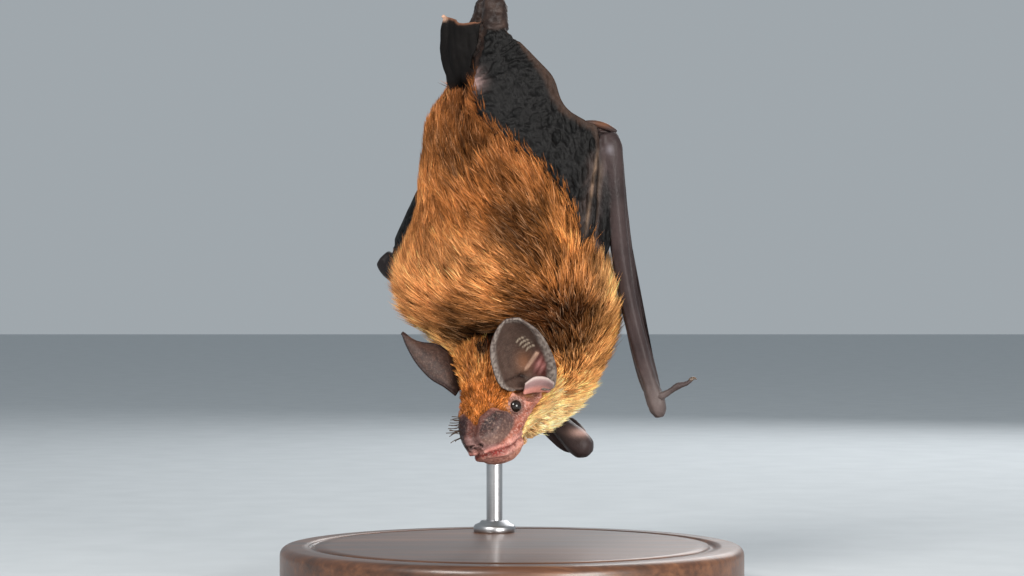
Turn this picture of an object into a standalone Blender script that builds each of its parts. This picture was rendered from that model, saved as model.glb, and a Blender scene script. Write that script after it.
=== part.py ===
"""A life-size model of an insect-eating vesper bat, hanging head down.

The bat hangs by both feet from a short cut branch, which a single rod holds over
a round base. Its left arm hangs beside it with the thumb spread, and its right
arm is crossed under the throat. The solids reach out to the tips of the coat.

Sizes are in millimetres, and MM turns them into Blender's metres. The origin is
the middle of the base's underside, +Z is up, and the back of the bat is turned
towards -Y.
"""

import math

import bmesh
import bpy
from mathutils import Matrix, Vector
from mathutils.bvhtree import BVHTree

MM = 0.001
GAP = 0.3  # clear space between two pieces that meet

# The stand
BASE_RADIUS = 44.0
BASE_HEIGHT = 8.0
BASE_BEVEL = 1.2
ROD_RADIUS = 1.6
COLLAR_RADIUS = 4.2
COLLAR_HEIGHT = 2.4
BRANCH_RADIUS = 3.2
BRANCH_AT = (0.6, 0.0, 119.2)  # where the middle of the two feet holds it
BRANCH_FRONT = 15.0
BRANCH_BACK = 35.0
BRANCH_TURN = math.radians(8.0)  # from the Y axis, its back end towards -X
ROD_BACK = 29.5  # distance of the rod behind the feet's middle

# The bat's own sizes
EYE_RADIUS = 1.2
EAR_THICKNESS = 0.7
MEMBRANE_THICKNESS = 0.8
MEMBRANE_CLEARANCE = MEMBRANE_THICKNESS / 2 + GAP + 0.8  # of a membrane's middle from the body
TOES = 5
TOE_RADIUS = 0.55
FOOT_SPREAD = 4.6  # each foot's distance from the middle along the branch


def catmull(points, position):
    """A point on the smooth curve through rows of numbers, where position counts rows."""
    last = len(points) - 1
    first = max(min(int(position), last - 1), 0)
    t = position - first
    before = points[max(first - 1, 0)]
    start = points[first]
    end = points[first + 1]
    after = points[min(first + 2, last)]
    return [
        0.5 * (2 * b + (c - a) * t + (2 * a - 5 * b + 4 * c - d) * t * t + (3 * b - a - 3 * c + d) * t**3)
        for a, b, c, d in zip(before, start, end, after)
    ]


def smooth_rows(rows, per_row):
    """The rows with others between them on a smooth curve."""
    count = (len(rows) - 1) * per_row
    return [catmull(rows, i / per_row) for i in range(count + 1)]


def superellipse(angle, power):
    """A point of a unit superellipse; a power over 2 is squarer than a circle."""
    c = math.cos(angle)
    s = math.sin(angle)
    return (
        math.copysign(abs(c) ** (2 / power), c),
        math.copysign(abs(s) ** (2 / power), s),
    )


class Ring:
    """One cross-section of a loft: its middle, two directions and its half sizes."""

    def __init__(self, middle, side, up, half_side, half_up, half_down=None, power=2.0):
        self.middle = Vector(middle)
        self.side = Vector(side)
        self.up = Vector(up)
        self.half_side = half_side
        self.half_up = half_up
        self.half_down = half_up if half_down is None else half_down
        self.power = power

    def point(self, angle, grow=0.0):
        c, s = superellipse(angle, self.power)
        half = self.half_up if s > 0 else self.half_down
        return self.middle + self.side * c * (self.half_side + grow) + self.up * s * (half + grow)


def loft(rings, sides, grow=0.0, shape=None):
    """A closed bmesh through the rings: a circle is extruded from ring to ring.

    Each end is moved out by grow. A shape, where given, moves a finished point.
    """
    bm = bmesh.new()
    loop = bmesh.ops.create_circle(bm, segments=sides, radius=1.0)["verts"]
    edges = list(bm.edges)
    ends = {
        0: (rings[0].middle - rings[1].middle).normalized() * grow,
        len(rings) - 1: (rings[-1].middle - rings[-2].middle).normalized() * grow,
    }
    for number, ring in enumerate(rings):
        if number:
            grown = bmesh.ops.extrude_edge_only(bm, edges=edges)["geom"]
            fresh = {g for g in grown if isinstance(g, bmesh.types.BMVert)}
            edges = [g for g in grown if isinstance(g, bmesh.types.BMEdge) and set(g.verts) <= fresh]
            loop = [next(e.other_vert(v) for e in v.link_edges if e.other_vert(v) in fresh) for v in loop]
        for i, vert in enumerate(loop):
            point = ring.point(2 * math.pi * i / sides, grow)
            vert.co = point + ends.get(number, Vector())
            if shape is not None:
                vert.co = shape(vert.co)
    bmesh.ops.holes_fill(bm, edges=[e for e in bm.edges if e.is_boundary])
    bmesh.ops.triangulate(bm, faces=bm.faces)
    return bm


def path_rings(points, radii, flatten=1.0, up_hint=(0, -1, 0), per_row=2):
    """Rings square to a smooth path, for a limb; flatten is thickness over width."""
    rows = smooth_rows([[*p, r] for p, r in zip(points, radii)], per_row)
    rings = []
    for i, row in enumerate(rows):
        ahead = Vector(rows[min(i + 1, len(rows) - 1)][:3])
        behind = Vector(rows[max(i - 1, 0)][:3])
        along = (ahead - behind).normalized()
        side = along.cross(Vector(up_hint)).normalized()
        up = side.cross(along).normalized()
        radius = max(row[3], 0.15)
        rings.append(Ring(row[:3], side, up, radius, radius * flatten))
    return rings


def tube(points, radii, sides=8, grow=0.0, flatten=1.0, up_hint=(0, -1, 0), per_row=2):
    """A closed bmesh along a smooth path, with a radius for each of its points."""
    return loft(path_rings(points, radii, flatten, up_hint, per_row), sides, grow)


def ball(at, radius, segments=10, rings=7):
    """A closed bmesh ball."""
    bm = bmesh.new()
    bmesh.ops.create_uvsphere(bm, u_segments=segments, v_segments=rings, radius=radius)
    bmesh.ops.translate(bm, vec=at, verts=bm.verts)
    return bm


class Model:
    """The collections of the bat: its parts, and the cutters that shape them."""

    def __init__(self, name):
        self.parts = self.new_collection(name)
        self.cutters = self.new_collection("cutters")

    @staticmethod
    def new_collection(name):
        collection = bpy.data.collections.new(name)
        bpy.context.scene.collection.children.link(collection)
        return collection

    def add(self, name, bm, material):
        """The bmesh in millimetres as a part in metres, shaded smooth."""
        return self.link(name, bm, self.parts, material)

    def cutter(self, name, bm):
        """The bmesh as a hidden cutter."""
        obj = self.link(name, bm, self.cutters, None)
        obj.hide_render = True
        obj.display_type = "WIRE"
        return obj

    @staticmethod
    def link(name, bm, collection, material):
        bmesh.ops.recalc_face_normals(bm, faces=bm.faces)
        bmesh.ops.transform(bm, matrix=Matrix.Scale(MM, 4), verts=bm.verts)
        mesh = bpy.data.meshes.new(name)
        bm.to_mesh(mesh)
        bm.free()
        mesh.shade_smooth()
        if material is not None:
            mesh.materials.append(material)
        obj = bpy.data.objects.new(name, mesh)
        collection.objects.link(obj)
        return obj


def boolean(obj, operation, *others):
    """Live Boolean modifiers, one for each of the others."""
    for other in others:
        modifier = obj.modifiers.new(f"{operation.lower()} {other.name}", "BOOLEAN")
        modifier.operation = operation
        modifier.object = other


def cut(obj, *others):
    boolean(obj, "DIFFERENCE", *others)


def material(name, colour, roughness, metallic=0.0):
    """A Principled material from an sRGB colour of 0 to 255."""
    made = bpy.data.materials.new(name)
    made.use_nodes = True
    shader = made.node_tree.nodes["Principled BSDF"]
    linear = [((c / 255 + 0.055) / 1.055) ** 2.4 if c > 10 else c / 255 / 12.92 for c in colour]
    shader.inputs["Base Color"].default_value = (*linear, 1)
    shader.inputs["Roughness"].default_value = roughness
    shader.inputs["Metallic"].default_value = metallic
    return made


# ---------------------------------------------------------------- the trunk and neck

HIP_TURN = math.radians(48)
CHEST_TURN = math.radians(33)

# Rows of the trunk from rump to throat: x, y, z, half width, half depth
TRUNK_ROWS = [
    (-9.8, 1.0, 96.0, 1.2, 1.2),
    (-9.6, 1.0, 93.6, 3.5, 3.1),
    (-7.4, 1.2, 87.4, 8.6, 7.2),
    (-4.2, 1.5, 79.4, 14.0, 11.0),
    (-2.4, 1.9, 71.0, 18.2, 13.6),
    (-2.0, 2.0, 62.0, 21.6, 15.4),
    (-0.7, 2.4, 54.0, 22.2, 15.4),
    (2.6, 3.6, 46.0, 18.0, 12.6),
    (4.4, 4.6, 38.0, 12.6, 9.6),
    (4.0, 4.8, 31.2, 6.6, 6.2),
    (3.4, 4.8, 28.0, 2.2, 2.4),
]
CHEST_Z = 62.0
NECK_Z = 49.6  # where the neck is parted from the trunk
TRUNK_SIDES = 22


def turned(turn):
    """The bat's left and back directions when its trunk is turned about the vertical."""
    left = Vector((math.cos(turn), -math.sin(turn), 0))
    back = Vector((-math.sin(turn), -math.cos(turn), 0))
    return left, back


def trunk_rings():
    top = TRUNK_ROWS[0][2]
    rings = []
    for x, y, z, half_side, half_up in smooth_rows(TRUNK_ROWS, 2):
        share = min(max((top - z) / (top - CHEST_Z), 0.0), 1.0)
        left, back = turned(HIP_TURN + (CHEST_TURN - HIP_TURN) * share)
        rings.append(Ring((x, y, z), left, back, half_side, half_up, power=2.15))
    return rings


# ---------------------------------------------------------------- the head

# The head's own axes: towards the nose, to its left, and up out of the crown
NOSE = Vector((-0.284, -0.683, -0.673)).normalized()
HEAD_LEFT = Vector((0.823, -0.534, 0.195)).normalized()
CROWN = NOSE.cross(HEAD_LEFT).normalized()
HEAD_AT = Vector((-2.7, -8.0, 37.3))

# Rows of the head from back to nose: distance, lift, half width, half above, half below
HEAD_ROWS = [
    (-10.4, 0.0, 2.6, 2.4, 2.4),
    (-9.2, 0.0, 5.6, 5.2, 5.4),
    (-6.0, 0.0, 8.6, 7.9, 8.4),
    (-2.0, 0.0, 9.5, 8.5, 9.2),
    (1.6, -0.2, 8.5, 7.5, 8.6),
    (5.2, -0.6, 6.7, 6.1, 7.4),
    (8.4, -1.0, 5.3, 5.0, 6.2),
    (11.2, -1.2, 4.4, 4.3, 5.3),
    (13.6, -1.3, 3.7, 3.7, 4.2),
    (15.0, -1.4, 2.6, 2.8, 3.1),
    (15.7, -1.4, 1.1, 1.2, 1.4),
]
HEAD_SIDES = 22

# Swellings of the face: nose, left and crown distances, reach, and height; a minus sinks it
MUZZLE_PAD = (11.0, 4.1, 1.4, 2.8, 1.0)
EYE_HOLLOW = (5.4, 6.6, 0.4, 2.2, -0.7)
NOSTRIL_LIFT = (15.0, 1.6, 1.4, 1.5, 0.5)
CHIN = (13.8, 0.0, -4.8, 2.2, 0.5)
MOUTH_FRONT = (15.8, -2.6)
MOUTH_CORNER = (7.0, -5.8)
EYE_AT = (5.4, 5.75, 0.3)


def on_head(nose, left, crown):
    """A place in the head's own axes as a point in the model."""
    return HEAD_AT + NOSE * nose + HEAD_LEFT * left + CROWN * crown


def face_swellings():
    """Both sides' swellings, each as its place, reach and height."""
    for nose, left, crown, reach, height in (MUZZLE_PAD, EYE_HOLLOW, NOSTRIL_LIFT, CHIN):
        for side in (1, -1) if left else (1,):
            yield on_head(nose, left * side, crown), reach, height


def shape_face(point):
    """Push a point of the head out of, or into, its axis by the swellings near it."""
    nose = (point - HEAD_AT).dot(NOSE)
    outward = (point - on_head(nose, 0, -1)).normalized()
    lift = 0.0
    for place, reach, height in face_swellings():
        lift += height * math.exp(-((point - place).length_squared) / reach**2)
    return point + outward * lift


def head_rings():
    return [
        Ring(on_head(n, 0, lift), HEAD_LEFT, CROWN, half, above, below, power=2.15)
        for n, lift, half, above, below in smooth_rows(HEAD_ROWS, 2)
    ]


# The margins of the left ear in the head's own axes, from their roots to the tip
EAR_INNER = [(4.3, 5.2, 4.2), (3.4, 5.0, 8.0), (2.0, 6.2, 12.0), (0.2, 8.6, 14.6), (-1.2, 10.6, 15.3)]
EAR_OUTER = [
    (-2.6, 8.6, -4.4),
    (-2.9, 12.0, 0.6),
    (-3.0, 13.6, 5.6),
    (-2.8, 14.0, 10.4),
    (-2.0, 12.6, 14.6),
]
EAR_LIFT = {1: 1.0, -1: 1.1}  # the right ear is pricked up further than the left
EAR_BACK = Vector((-0.79, -0.61, 0.0))  # away from the opening
EAR_DEPTH = (3.4, 4.2, 3.6, 2.2, 0.4)  # how far the ear bellies back at each row
EAR_ROWS = 8
EAR_COLUMNS = 7


def ear_sheet(side):
    """The cupped sheet of an ear as an open bmesh; side is 1 for the left and -1 for the right."""
    bm = bmesh.new()
    bmesh.ops.create_grid(bm, x_segments=EAR_COLUMNS, y_segments=EAR_ROWS, size=0.5)
    last = len(EAR_INNER) - 1
    for vert in bm.verts:
        across = vert.co.x + 0.5
        along = (vert.co.y + 0.5) * last
        inner = Vector(catmull(EAR_INNER, along))
        outer = Vector(catmull(EAR_OUTER, along))
        depth = catmull([(d,) for d in EAR_DEPTH], along)[0]
        place = inner.lerp(outer, across) + EAR_BACK * depth * math.sin(math.pi * across) ** 0.7
        lift = EAR_LIFT[side]
        vert.co = on_head(place.x, place.y * side * lift, place.z * lift)
    bmesh.ops.recalc_face_normals(bm, faces=bm.faces)
    return bm


# The tragus: a blade that stands in front of the ear's opening
TRAGUS_PATH = [(0.2, 8.0, -1.6), (0.6, 9.6, 0.4), (0.4, 10.6, 2.6), (-0.4, 10.8, 4.6)]
TRAGUS_RADII = [1.5, 1.3, 1.1, 0.4]


# ---------------------------------------------------------------- limbs

LEFT_SHOULDER = Vector((13.4, -5.0, 53.0))
LEFT_ELBOW = Vector((17.2, -8.0, 84.3))
LEFT_WRIST = Vector((26.8, -4.0, 34.4))
RIGHT_SHOULDER = Vector((-4.5, 4.5, 54.4))
RIGHT_ELBOW = Vector((-25.5, 27.0, 61.4))
RIGHT_WRIST = Vector((14.2, 18.0, 26.6))
LEFT_KNEE = Vector((-6.4, -5.2, 96.6))
RIGHT_KNEE = Vector((-9.4, 6.6, 96.5))
LEFT_ANKLE = Vector((-3.4, -5.2, 112.2))
RIGHT_ANKLE = Vector((-4.9, 4.2, 112.2))


def mixed(a, b, share):
    return Vector(a).lerp(Vector(b), share)


def straight(a, b, shares, bow=(0, 0, 0)):
    """Points between a and b, bowed out in the middle."""
    return [mixed(a, b, s) + Vector(bow) * math.sin(math.pi * s) for s in shares]


UPPER_ARM_RADII = [3.4, 3.2, 2.7, 2.3]
FOREARM_RADII = [1.5, 2.3, 2.1, 1.7, 1.6, 1.7, 2.2, 1.3]
FOREARM_SHARES = [-0.045, 0.0, 0.1, 0.3, 0.55, 0.8, 0.96, 1.03]
HAND_RADII = [1.5, 1.9, 1.7, 1.7, 1.6, 1.7, 1.5, 1.0]

# The folded hand's shares of the forearm's length, and its places beside it, from wrist to elbow
LEFT_HAND = [
    (0.97, (0.8, 3.6, 0.3)),
    (0.88, (0.9, 3.7, 0.3)),
    (0.66, (1.0, 3.7, 0.3)),
    (0.44, (1.1, 3.7, 0.3)),
    (0.22, (1.2, 3.7, 0.3)),
    (0.04, (1.1, 3.7, 0.3)),
    (-0.02, (0.2, 3.0, 1.2)),
    (-0.02, (-2.4, 1.6, 1.8)),
]
RIGHT_HAND = [
    (1.01, (-1.6, 2.6, -2.7)),
    (0.93, (-2.0, 2.4, -2.7)),
    (0.7, (-1.3, 3.2, -1.4)),
    (0.5, (-0.4, 3.5, -0.4)),
    (0.35, (0.3, 3.6, 0.3)),
    (0.2, (0.6, 3.6, 0.6)),
    (0.1, (0.8, 3.6, 0.8)),
    (0.02, (0.8, 3.4, 0.8)),
]
THUMB_RADII = [1.1, 0.95, 0.8, 0.55, 0.2]
LEFT_THUMB = [
    (27.6, -5.4, 36.2),
    (29.4, -5.9, 37.2),
    (31.2, -6.2, 38.4),
    (32.8, -6.2, 38.9),
    (34.3, -6.0, 40.0),
]
RIGHT_THUMB = [
    (14.0, 20.4, 28.0),
    (13.4, 22.4, 29.2),
    (12.0, 23.6, 30.4),
    (10.4, 24.0, 31.0),
    (8.8, 24.0, 32.4),
]


def upper_arm(shoulder, elbow, grow=0.0):
    return tube(straight(shoulder, elbow, (0, 0.35, 0.7, 1.0)), UPPER_ARM_RADII, 8, grow)


def forearm(elbow, wrist, grow=0.0):
    return tube(straight(elbow, wrist, FOREARM_SHARES), FOREARM_RADII, 8, grow, per_row=1)


def hand(elbow, wrist, places, grow=0.0):
    """The long fingers folded together beside the forearm, their joints at the elbow."""
    points = [mixed(elbow, wrist, share) + Vector(beside) for share, beside in places]
    return tube(points, HAND_RADII, 8, grow, 0.9, per_row=1)


THIGH_RADII = [3.0, 2.9, 2.3, 1.7]
SHANK_RADII = [1.9, 1.8, 1.5, 1.3, 1.4]


def thigh(hip, knee, grow=0.0):
    return tube(straight(hip, knee, (0, 0.35, 0.7, 1.0)), THIGH_RADII, 10, grow)


def shank(knee, ankle, grow=0.0):
    return tube(straight(knee, ankle, (0.0, 0.25, 0.5, 0.75, 1.0)), SHANK_RADII, 8, grow)


LEFT_HIP = Vector((-6.2, -1.8, 85.0))
RIGHT_HIP = Vector((-8.8, 4.6, 85.0))

# ---------------------------------------------------------------- feet

BRANCH_WAY = Vector((-math.sin(BRANCH_TURN), math.cos(BRANCH_TURN), 0))
BRANCH_SIDE = Vector((math.cos(BRANCH_TURN), math.sin(BRANCH_TURN), 0))
TOE_START = math.radians(205)
TOE_END = math.radians(-12)
CLAW_END = math.radians(-62)
TOE_SPACING = 1.28


def round_branch(angle, along, away):
    """A point beside the branch: the angle round it, a place along it, and a distance from it."""
    radius = BRANCH_RADIUS + away
    spoke = BRANCH_SIDE * math.cos(angle) + Vector((0, 0, 1)) * math.sin(angle)
    return Vector(BRANCH_AT) + BRANCH_WAY * along + spoke * radius


def toe(along, number):
    """One toe and its claw, from the foot's body over the branch and down its other side."""
    spread = (number - (TOES - 1) / 2) * TOE_SPACING
    points = []
    radii = []
    away = GAP + 0.1 + TOE_RADIUS
    for i in range(5):
        share = i / 4
        angle = TOE_START + (TOE_END - TOE_START) * share
        points.append(round_branch(angle, along + spread * (0.8 + 0.2 * share), away))
        radii.append(TOE_RADIUS)
    points.append(round_branch((TOE_END + CLAW_END) / 2, along + spread, away))
    radii.append(TOE_RADIUS * 0.62)
    points.append(round_branch(CLAW_END, along + spread, GAP + 0.25))
    radii.append(0.16)
    return tube(points, radii, 5, per_row=1, up_hint=BRANCH_WAY)


def foot_body(ankle, along):
    """The flat body of a foot, from the ankle up to the roots of its toes."""
    away = GAP + 0.1 + TOE_RADIUS
    root = round_branch(TOE_START - 0.12, along, away)
    low = round_branch(TOE_START + 0.5, along, away + 0.3)
    rings = []
    for share, width, thick in ((0.06, 1.2, 1.3), (0.3, 1.6, 1.35), (0.6, 2.4, 1.1), (1.0, 3.0, 0.85)):
        place = mixed(mixed(ankle, low, share), root, share * share)
        rings.append(Ring(place, BRANCH_WAY, BRANCH_SIDE, width, thick))
    return loft(rings, 10)


# ---------------------------------------------------------------- membranes


def clear_of(point, obstacle, clearance):
    """The point, or the nearest place that is a clearance outside the obstacle."""
    nearest, normal, _, distance = obstacle.find_nearest(point)
    outside = (point - nearest).dot(normal)
    if outside > 0 and distance >= clearance:
        return point
    return nearest + normal * clearance


def draped_sheet(inner, outer, rows, columns, obstacle, fold=None):
    """An open sheet between two smooth edges, laid clear of the obstacle.

    A fold, where given, moves the inside of the sheet before that.
    """
    bm = bmesh.new()
    bmesh.ops.create_grid(bm, x_segments=columns, y_segments=rows, size=0.5)
    for vert in bm.verts:
        across = vert.co.x + 0.5
        along = vert.co.y + 0.5
        a = Vector(catmull(inner, along * (len(inner) - 1)))
        b = Vector(catmull(outer, along * (len(outer) - 1)))
        place = a.lerp(b, across)
        if fold is not None:
            place += fold(across, along)
        for _ in range(3):
            place = clear_of(place, obstacle, MEMBRANE_CLEARANCE)
        vert.co = place
    return bm


def joined(*shapes):
    """One bmesh of several, for finding the nearest surface."""
    whole = bmesh.new()
    for shape in shapes:
        mesh = bpy.data.meshes.new("joined")
        shape.to_mesh(mesh)
        whole.from_mesh(mesh)
        bpy.data.meshes.remove(mesh)
        shape.free()
    whole.normal_update()
    bmesh.ops.recalc_face_normals(whole, faces=whole.faces)
    return whole


# The left wing's membrane: its edge on the body and its free edge, from ankle to armpit
LEFT_WING_INNER = [
    (-5.4, -7.0, 108.5),
    (-6.6, -8.0, 101.0),
    (-8.2, -8.0, 94.4),
    (-2.6, -9.0, 86.4),
    (6.4, -9.4, 77.2),
    (10.4, -11.0, 70.0),
    (13.0, -13.0, 62.4),
]
LEFT_WING_OUTER = [
    (-1.2, -7.4, 108.5),
    (1.4, -8.0, 103.0),
    (5.4, -8.6, 98.8),
    (9.6, -9.6, 91.6),
    (14.0, -10.4, 85.6),
    (14.6, -11.2, 74.0),
    (15.2, -12.6, 64.0),
]

# The right wing's membrane, on the far side of the body
RIGHT_WING_INNER = [
    (-5.8, 7.4, 108.5),
    (-9.4, 9.4, 97.0),
    (-11.0, 9.6, 87.0),
    (-14.0, 10.6, 78.0),
    (-16.0, 11.6, 70.0),
    (-17.4, 12.4, 63.0),
]
RIGHT_WING_OUTER = [
    (-7.4, 8.6, 108.0),
    (-11.6, 13.0, 95.0),
    (-16.2, 18.0, 84.0),
    (-20.6, 22.0, 75.6),
    (-24.8, 24.6, 67.6),
    (-22.6, 20.0, 62.0),
]

# The tail's membrane: round the rump, and its free edge, from the left shank to the right
TAIL_ROOT = [
    (-7.8, -5.0, 97.0),
    (-9.6, -2.4, 95.0),
    (-11.2, -0.8, 93.6),
    (-11.6, 2.0, 94.2),
    (-11.0, 5.0, 96.6),
]
TAIL_EDGE = [
    (-6.6, -7.0, 107.6),
    (-9.8, -6.4, 106.4),
    (-12.4, -2.4, 108.2),
    (-11.2, 2.4, 106.8),
    (-8.2, 4.0, 107.6),
]
TAIL_PATH = [
    (-9.4, 0.4, 92.0),
    (-9.8, -0.1, 98.0),
    (-10.3, -0.5, 103.0),
    (-11.1, -0.9, 107.2),
    (-12.6, -1.5, 110.4),
]
TAIL_RADII = [1.4, 1.1, 0.9, 0.7, 0.35]
TAIL_PLEATS = 4


def tail_fold(across, along):
    """The belly and the pleats of the tail's membrane, deepest in the middle of its height."""
    arch = math.sin(math.pi * min(max(along, 0.0), 1.0))
    belly = 1.2 * math.sin(math.pi * across)
    pleat = 0.6 * across * math.cos(2 * math.pi * TAIL_PLEATS * along)
    return Vector((-1, -0.2, 0)) * arch * (belly + pleat)


def membrane(model, name, bm, skin):
    """An open sheet as a part, made a thin solid."""
    obj = model.add(name, bm, skin)
    modifier = obj.modifiers.new("thickness", "SOLIDIFY")
    modifier.thickness = MEMBRANE_THICKNESS * MM
    modifier.offset = 0
    return obj


# ---------------------------------------------------------------- building


def halved(bm, z, keep_above):
    """The closed bmesh cut by a level plane, with one side kept and the cut filled."""
    geometry = bm.verts[:] + bm.edges[:] + bm.faces[:]
    way = Vector((0, 0, -1 if keep_above else 1))
    bmesh.ops.bisect_plane(bm, geom=geometry, plane_co=(0, 0, z), plane_no=way, clear_outer=True)
    bmesh.ops.holes_fill(bm, edges=[e for e in bm.edges if e.is_boundary])
    bmesh.ops.triangulate(bm, faces=bm.faces)
    return bm


def build_body(model, fur):
    """The trunk and the neck, which share one form, parted by a level gap."""
    trunk = model.add("trunk", halved(loft(trunk_rings(), TRUNK_SIDES), NECK_Z + GAP / 2, True), fur)
    neck = model.add("neck", halved(loft(trunk_rings(), TRUNK_SIDES), NECK_Z - GAP / 2, False), fur)
    return trunk, neck


def jaw_block(grow=0.0):
    """A block below the mouth and in front of its corners, as a closed bmesh."""
    length = 14.0
    depth = 12.0
    slope = Vector((MOUTH_FRONT[0] - MOUTH_CORNER[0], MOUTH_FRONT[1] - MOUTH_CORNER[1])).normalized()
    ahead = NOSE * slope.x + CROWN * slope.y
    above = CROWN * slope.x - NOSE * slope.y
    corner = on_head(MOUTH_CORNER[0], 0, MOUTH_CORNER[1])
    middle = corner + ahead * (length / 2 - grow) - above * (depth / 2 - grow)
    turn = Matrix((ahead, HEAD_LEFT, above)).transposed().to_4x4()
    size = Matrix.Diagonal((length, 2 * depth, depth, 1))
    bm = bmesh.new()
    bmesh.ops.create_cube(bm, size=1.0, matrix=Matrix.Translation(middle) @ turn @ size)
    return bm


def build_head(model, fur, skin, eye_black):
    """The head and jaw, and the eyes, ears and tragi, each clear of the head."""
    head = model.add("head", loft(head_rings(), HEAD_SIDES, shape=shape_face), fur)
    cut(head, model.cutter("room for the jaw", jaw_block(GAP)))
    jaw = model.add("lower_jaw", loft(head_rings(), HEAD_SIDES, shape=shape_face), fur)
    boolean(jaw, "INTERSECT", model.cutter("jaw block", jaw_block()))
    room = model.cutter("room for the head", loft(head_rings(), HEAD_SIDES, GAP, shape_face))
    nose, left, crown = EYE_AT
    for side, word in ((1, "left"), (-1, "right")):
        place = on_head(nose, left * side, crown)
        model.add(f"eye_{word}", ball(place, EYE_RADIUS), eye_black)
        cut(head, model.cutter(f"socket {word}", ball(place, EYE_RADIUS + GAP)))

        ear = membrane(model, f"ear_{word}", ear_sheet(side), skin)
        ear.modifiers["thickness"].thickness = EAR_THICKNESS * MM
        cut(ear, room)

        points = [on_head(n, l * side, c) for n, l, c in TRAGUS_PATH]
        tragus = model.add(f"tragus_{word}", tube(points, TRAGUS_RADII, 8, 0, 0.4, EAR_BACK), skin)
        cut(tragus, room)
    return head, room


def build_arm(model, word, shoulder, elbow, wrist, places, thumb, skin):
    """One arm: the upper arm, forearm, folded hand and thumb."""
    upper = model.add(f"upper_arm_{word}", upper_arm(shoulder, elbow), skin)
    model.add(f"forearm_{word}", forearm(elbow, wrist), skin)
    forearm_room = model.cutter(f"room for the {word} forearm", forearm(elbow, wrist, GAP))
    cut(upper, forearm_room)
    folded = model.add(f"hand_{word}", hand(elbow, wrist, places), skin)
    cut(folded, forearm_room)
    hand_room = model.cutter(f"room for the {word} hand", hand(elbow, wrist, places, GAP))
    digit = model.add(f"thumb_{word}", tube(thumb, THUMB_RADII, 6), skin)
    cut(digit, forearm_room, hand_room)
    return model.cutter(f"room for the {word} upper arm", upper_arm(shoulder, elbow, GAP))


def build_leg(model, word, hip, knee, ankle, along, fur, skin):
    """One leg: the thigh, the shank, and the foot with its toes and claws."""
    model.add(f"thigh_{word}", thigh(hip, knee), fur)
    thigh_room = model.cutter(f"room for the {word} thigh", thigh(hip, knee, GAP))
    lower = model.add(f"shank_{word}", shank(knee, ankle), skin)
    cut(lower, thigh_room)
    foot = model.add(f"foot_{word}", foot_body(ankle, along), skin)
    for number in range(TOES):
        boolean(foot, "UNION", model.cutter(f"toe {word} {number}", toe(along, number)))
    cut(foot, model.cutter(f"room for the {word} shank", shank(knee, ankle, GAP)))
    return thigh_room


def build_membranes(model, skin):
    """The tail, its membrane, and the membranes of the two wings, all clear of the body."""
    tail = model.add("tail", tube(TAIL_PATH, TAIL_RADII, 6), skin)
    cut(tail, model.cutter("room for the trunk", loft(trunk_rings(), TRUNK_SIDES, GAP)))

    body = joined(
        thigh(LEFT_HIP, LEFT_KNEE),
        thigh(RIGHT_HIP, RIGHT_KNEE),
        shank(LEFT_KNEE, LEFT_ANKLE),
        shank(RIGHT_KNEE, RIGHT_ANKLE),
        tube(TAIL_PATH, TAIL_RADII, 6),
        loft(trunk_rings(), TRUNK_SIDES),
        upper_arm(LEFT_SHOULDER, LEFT_ELBOW),
        upper_arm(RIGHT_SHOULDER, RIGHT_ELBOW),
    )
    round_body = BVHTree.FromBMesh(body)
    body.free()
    sheets = {
        "tail_membrane": (TAIL_ROOT, TAIL_EDGE, 24, 4, tail_fold),
        "wing_membrane_left": (LEFT_WING_INNER, LEFT_WING_OUTER, 17, 6, None),
        "wing_membrane_right": (RIGHT_WING_INNER, RIGHT_WING_OUTER, 13, 5, None),
    }
    for name, (inner, outer, rows, columns, fold) in sheets.items():
        membrane(model, name, draped_sheet(inner, outer, rows, columns, round_body, fold), skin)


def build_stand(model, wood, metal, bark):
    """The round base, its rod and collar, and the cut branch."""
    foot = Vector(BRANCH_AT) + BRANCH_WAY * ROD_BACK
    bm = bmesh.new()
    bmesh.ops.create_cone(
        bm,
        cap_ends=True,
        segments=40,
        radius1=BASE_RADIUS,
        radius2=BASE_RADIUS,
        depth=BASE_HEIGHT,
        matrix=Matrix.Translation((0, 0, BASE_HEIGHT / 2)),
    )
    rims = [e for e in bm.edges if len({round(v.co.z) for v in e.verts}) == 1]
    bmesh.ops.bevel(bm, geom=rims, offset=BASE_BEVEL, segments=1, profile=0.5, affect="EDGES", material=-1)
    base = model.add("stand_base", bm, wood)

    rod_bottom = BASE_HEIGHT / 2
    rod_top = BRANCH_AT[2] + 1.0
    line = [(foot.x, foot.y, rod_bottom), (foot.x, foot.y, rod_top)]
    model.add("stand_rod", tube(line, [ROD_RADIUS] * 2, 12, per_row=1), metal)
    rod_room = model.cutter("room for the rod", tube(line, [ROD_RADIUS] * 2, 12, GAP, per_row=1))
    cut(base, rod_room)

    sleeve = [(foot.x, foot.y, BASE_HEIGHT + z) for z in (GAP, COLLAR_HEIGHT * 0.6, COLLAR_HEIGHT)]
    collar_form = tube(sleeve, [COLLAR_RADIUS, COLLAR_RADIUS, 3.2], 12, per_row=1)
    collar = model.add("stand_collar", collar_form, metal)
    cut(collar, rod_room)

    places = (-BRANCH_FRONT, -BRANCH_FRONT / 2, 0, BRANCH_BACK / 3, 2 * BRANCH_BACK / 3, BRANCH_BACK)
    points = [Vector(BRANCH_AT) + BRANCH_WAY * a for a in places]
    girths = [1.0, 0.97, 1.0, 1.02, 1.08, 1.0]
    branch_form = tube(points, [BRANCH_RADIUS * g for g in girths], 12, per_row=1)
    branch = model.add("stand_perch", branch_form, bark)
    cut(branch, rod_room)


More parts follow.
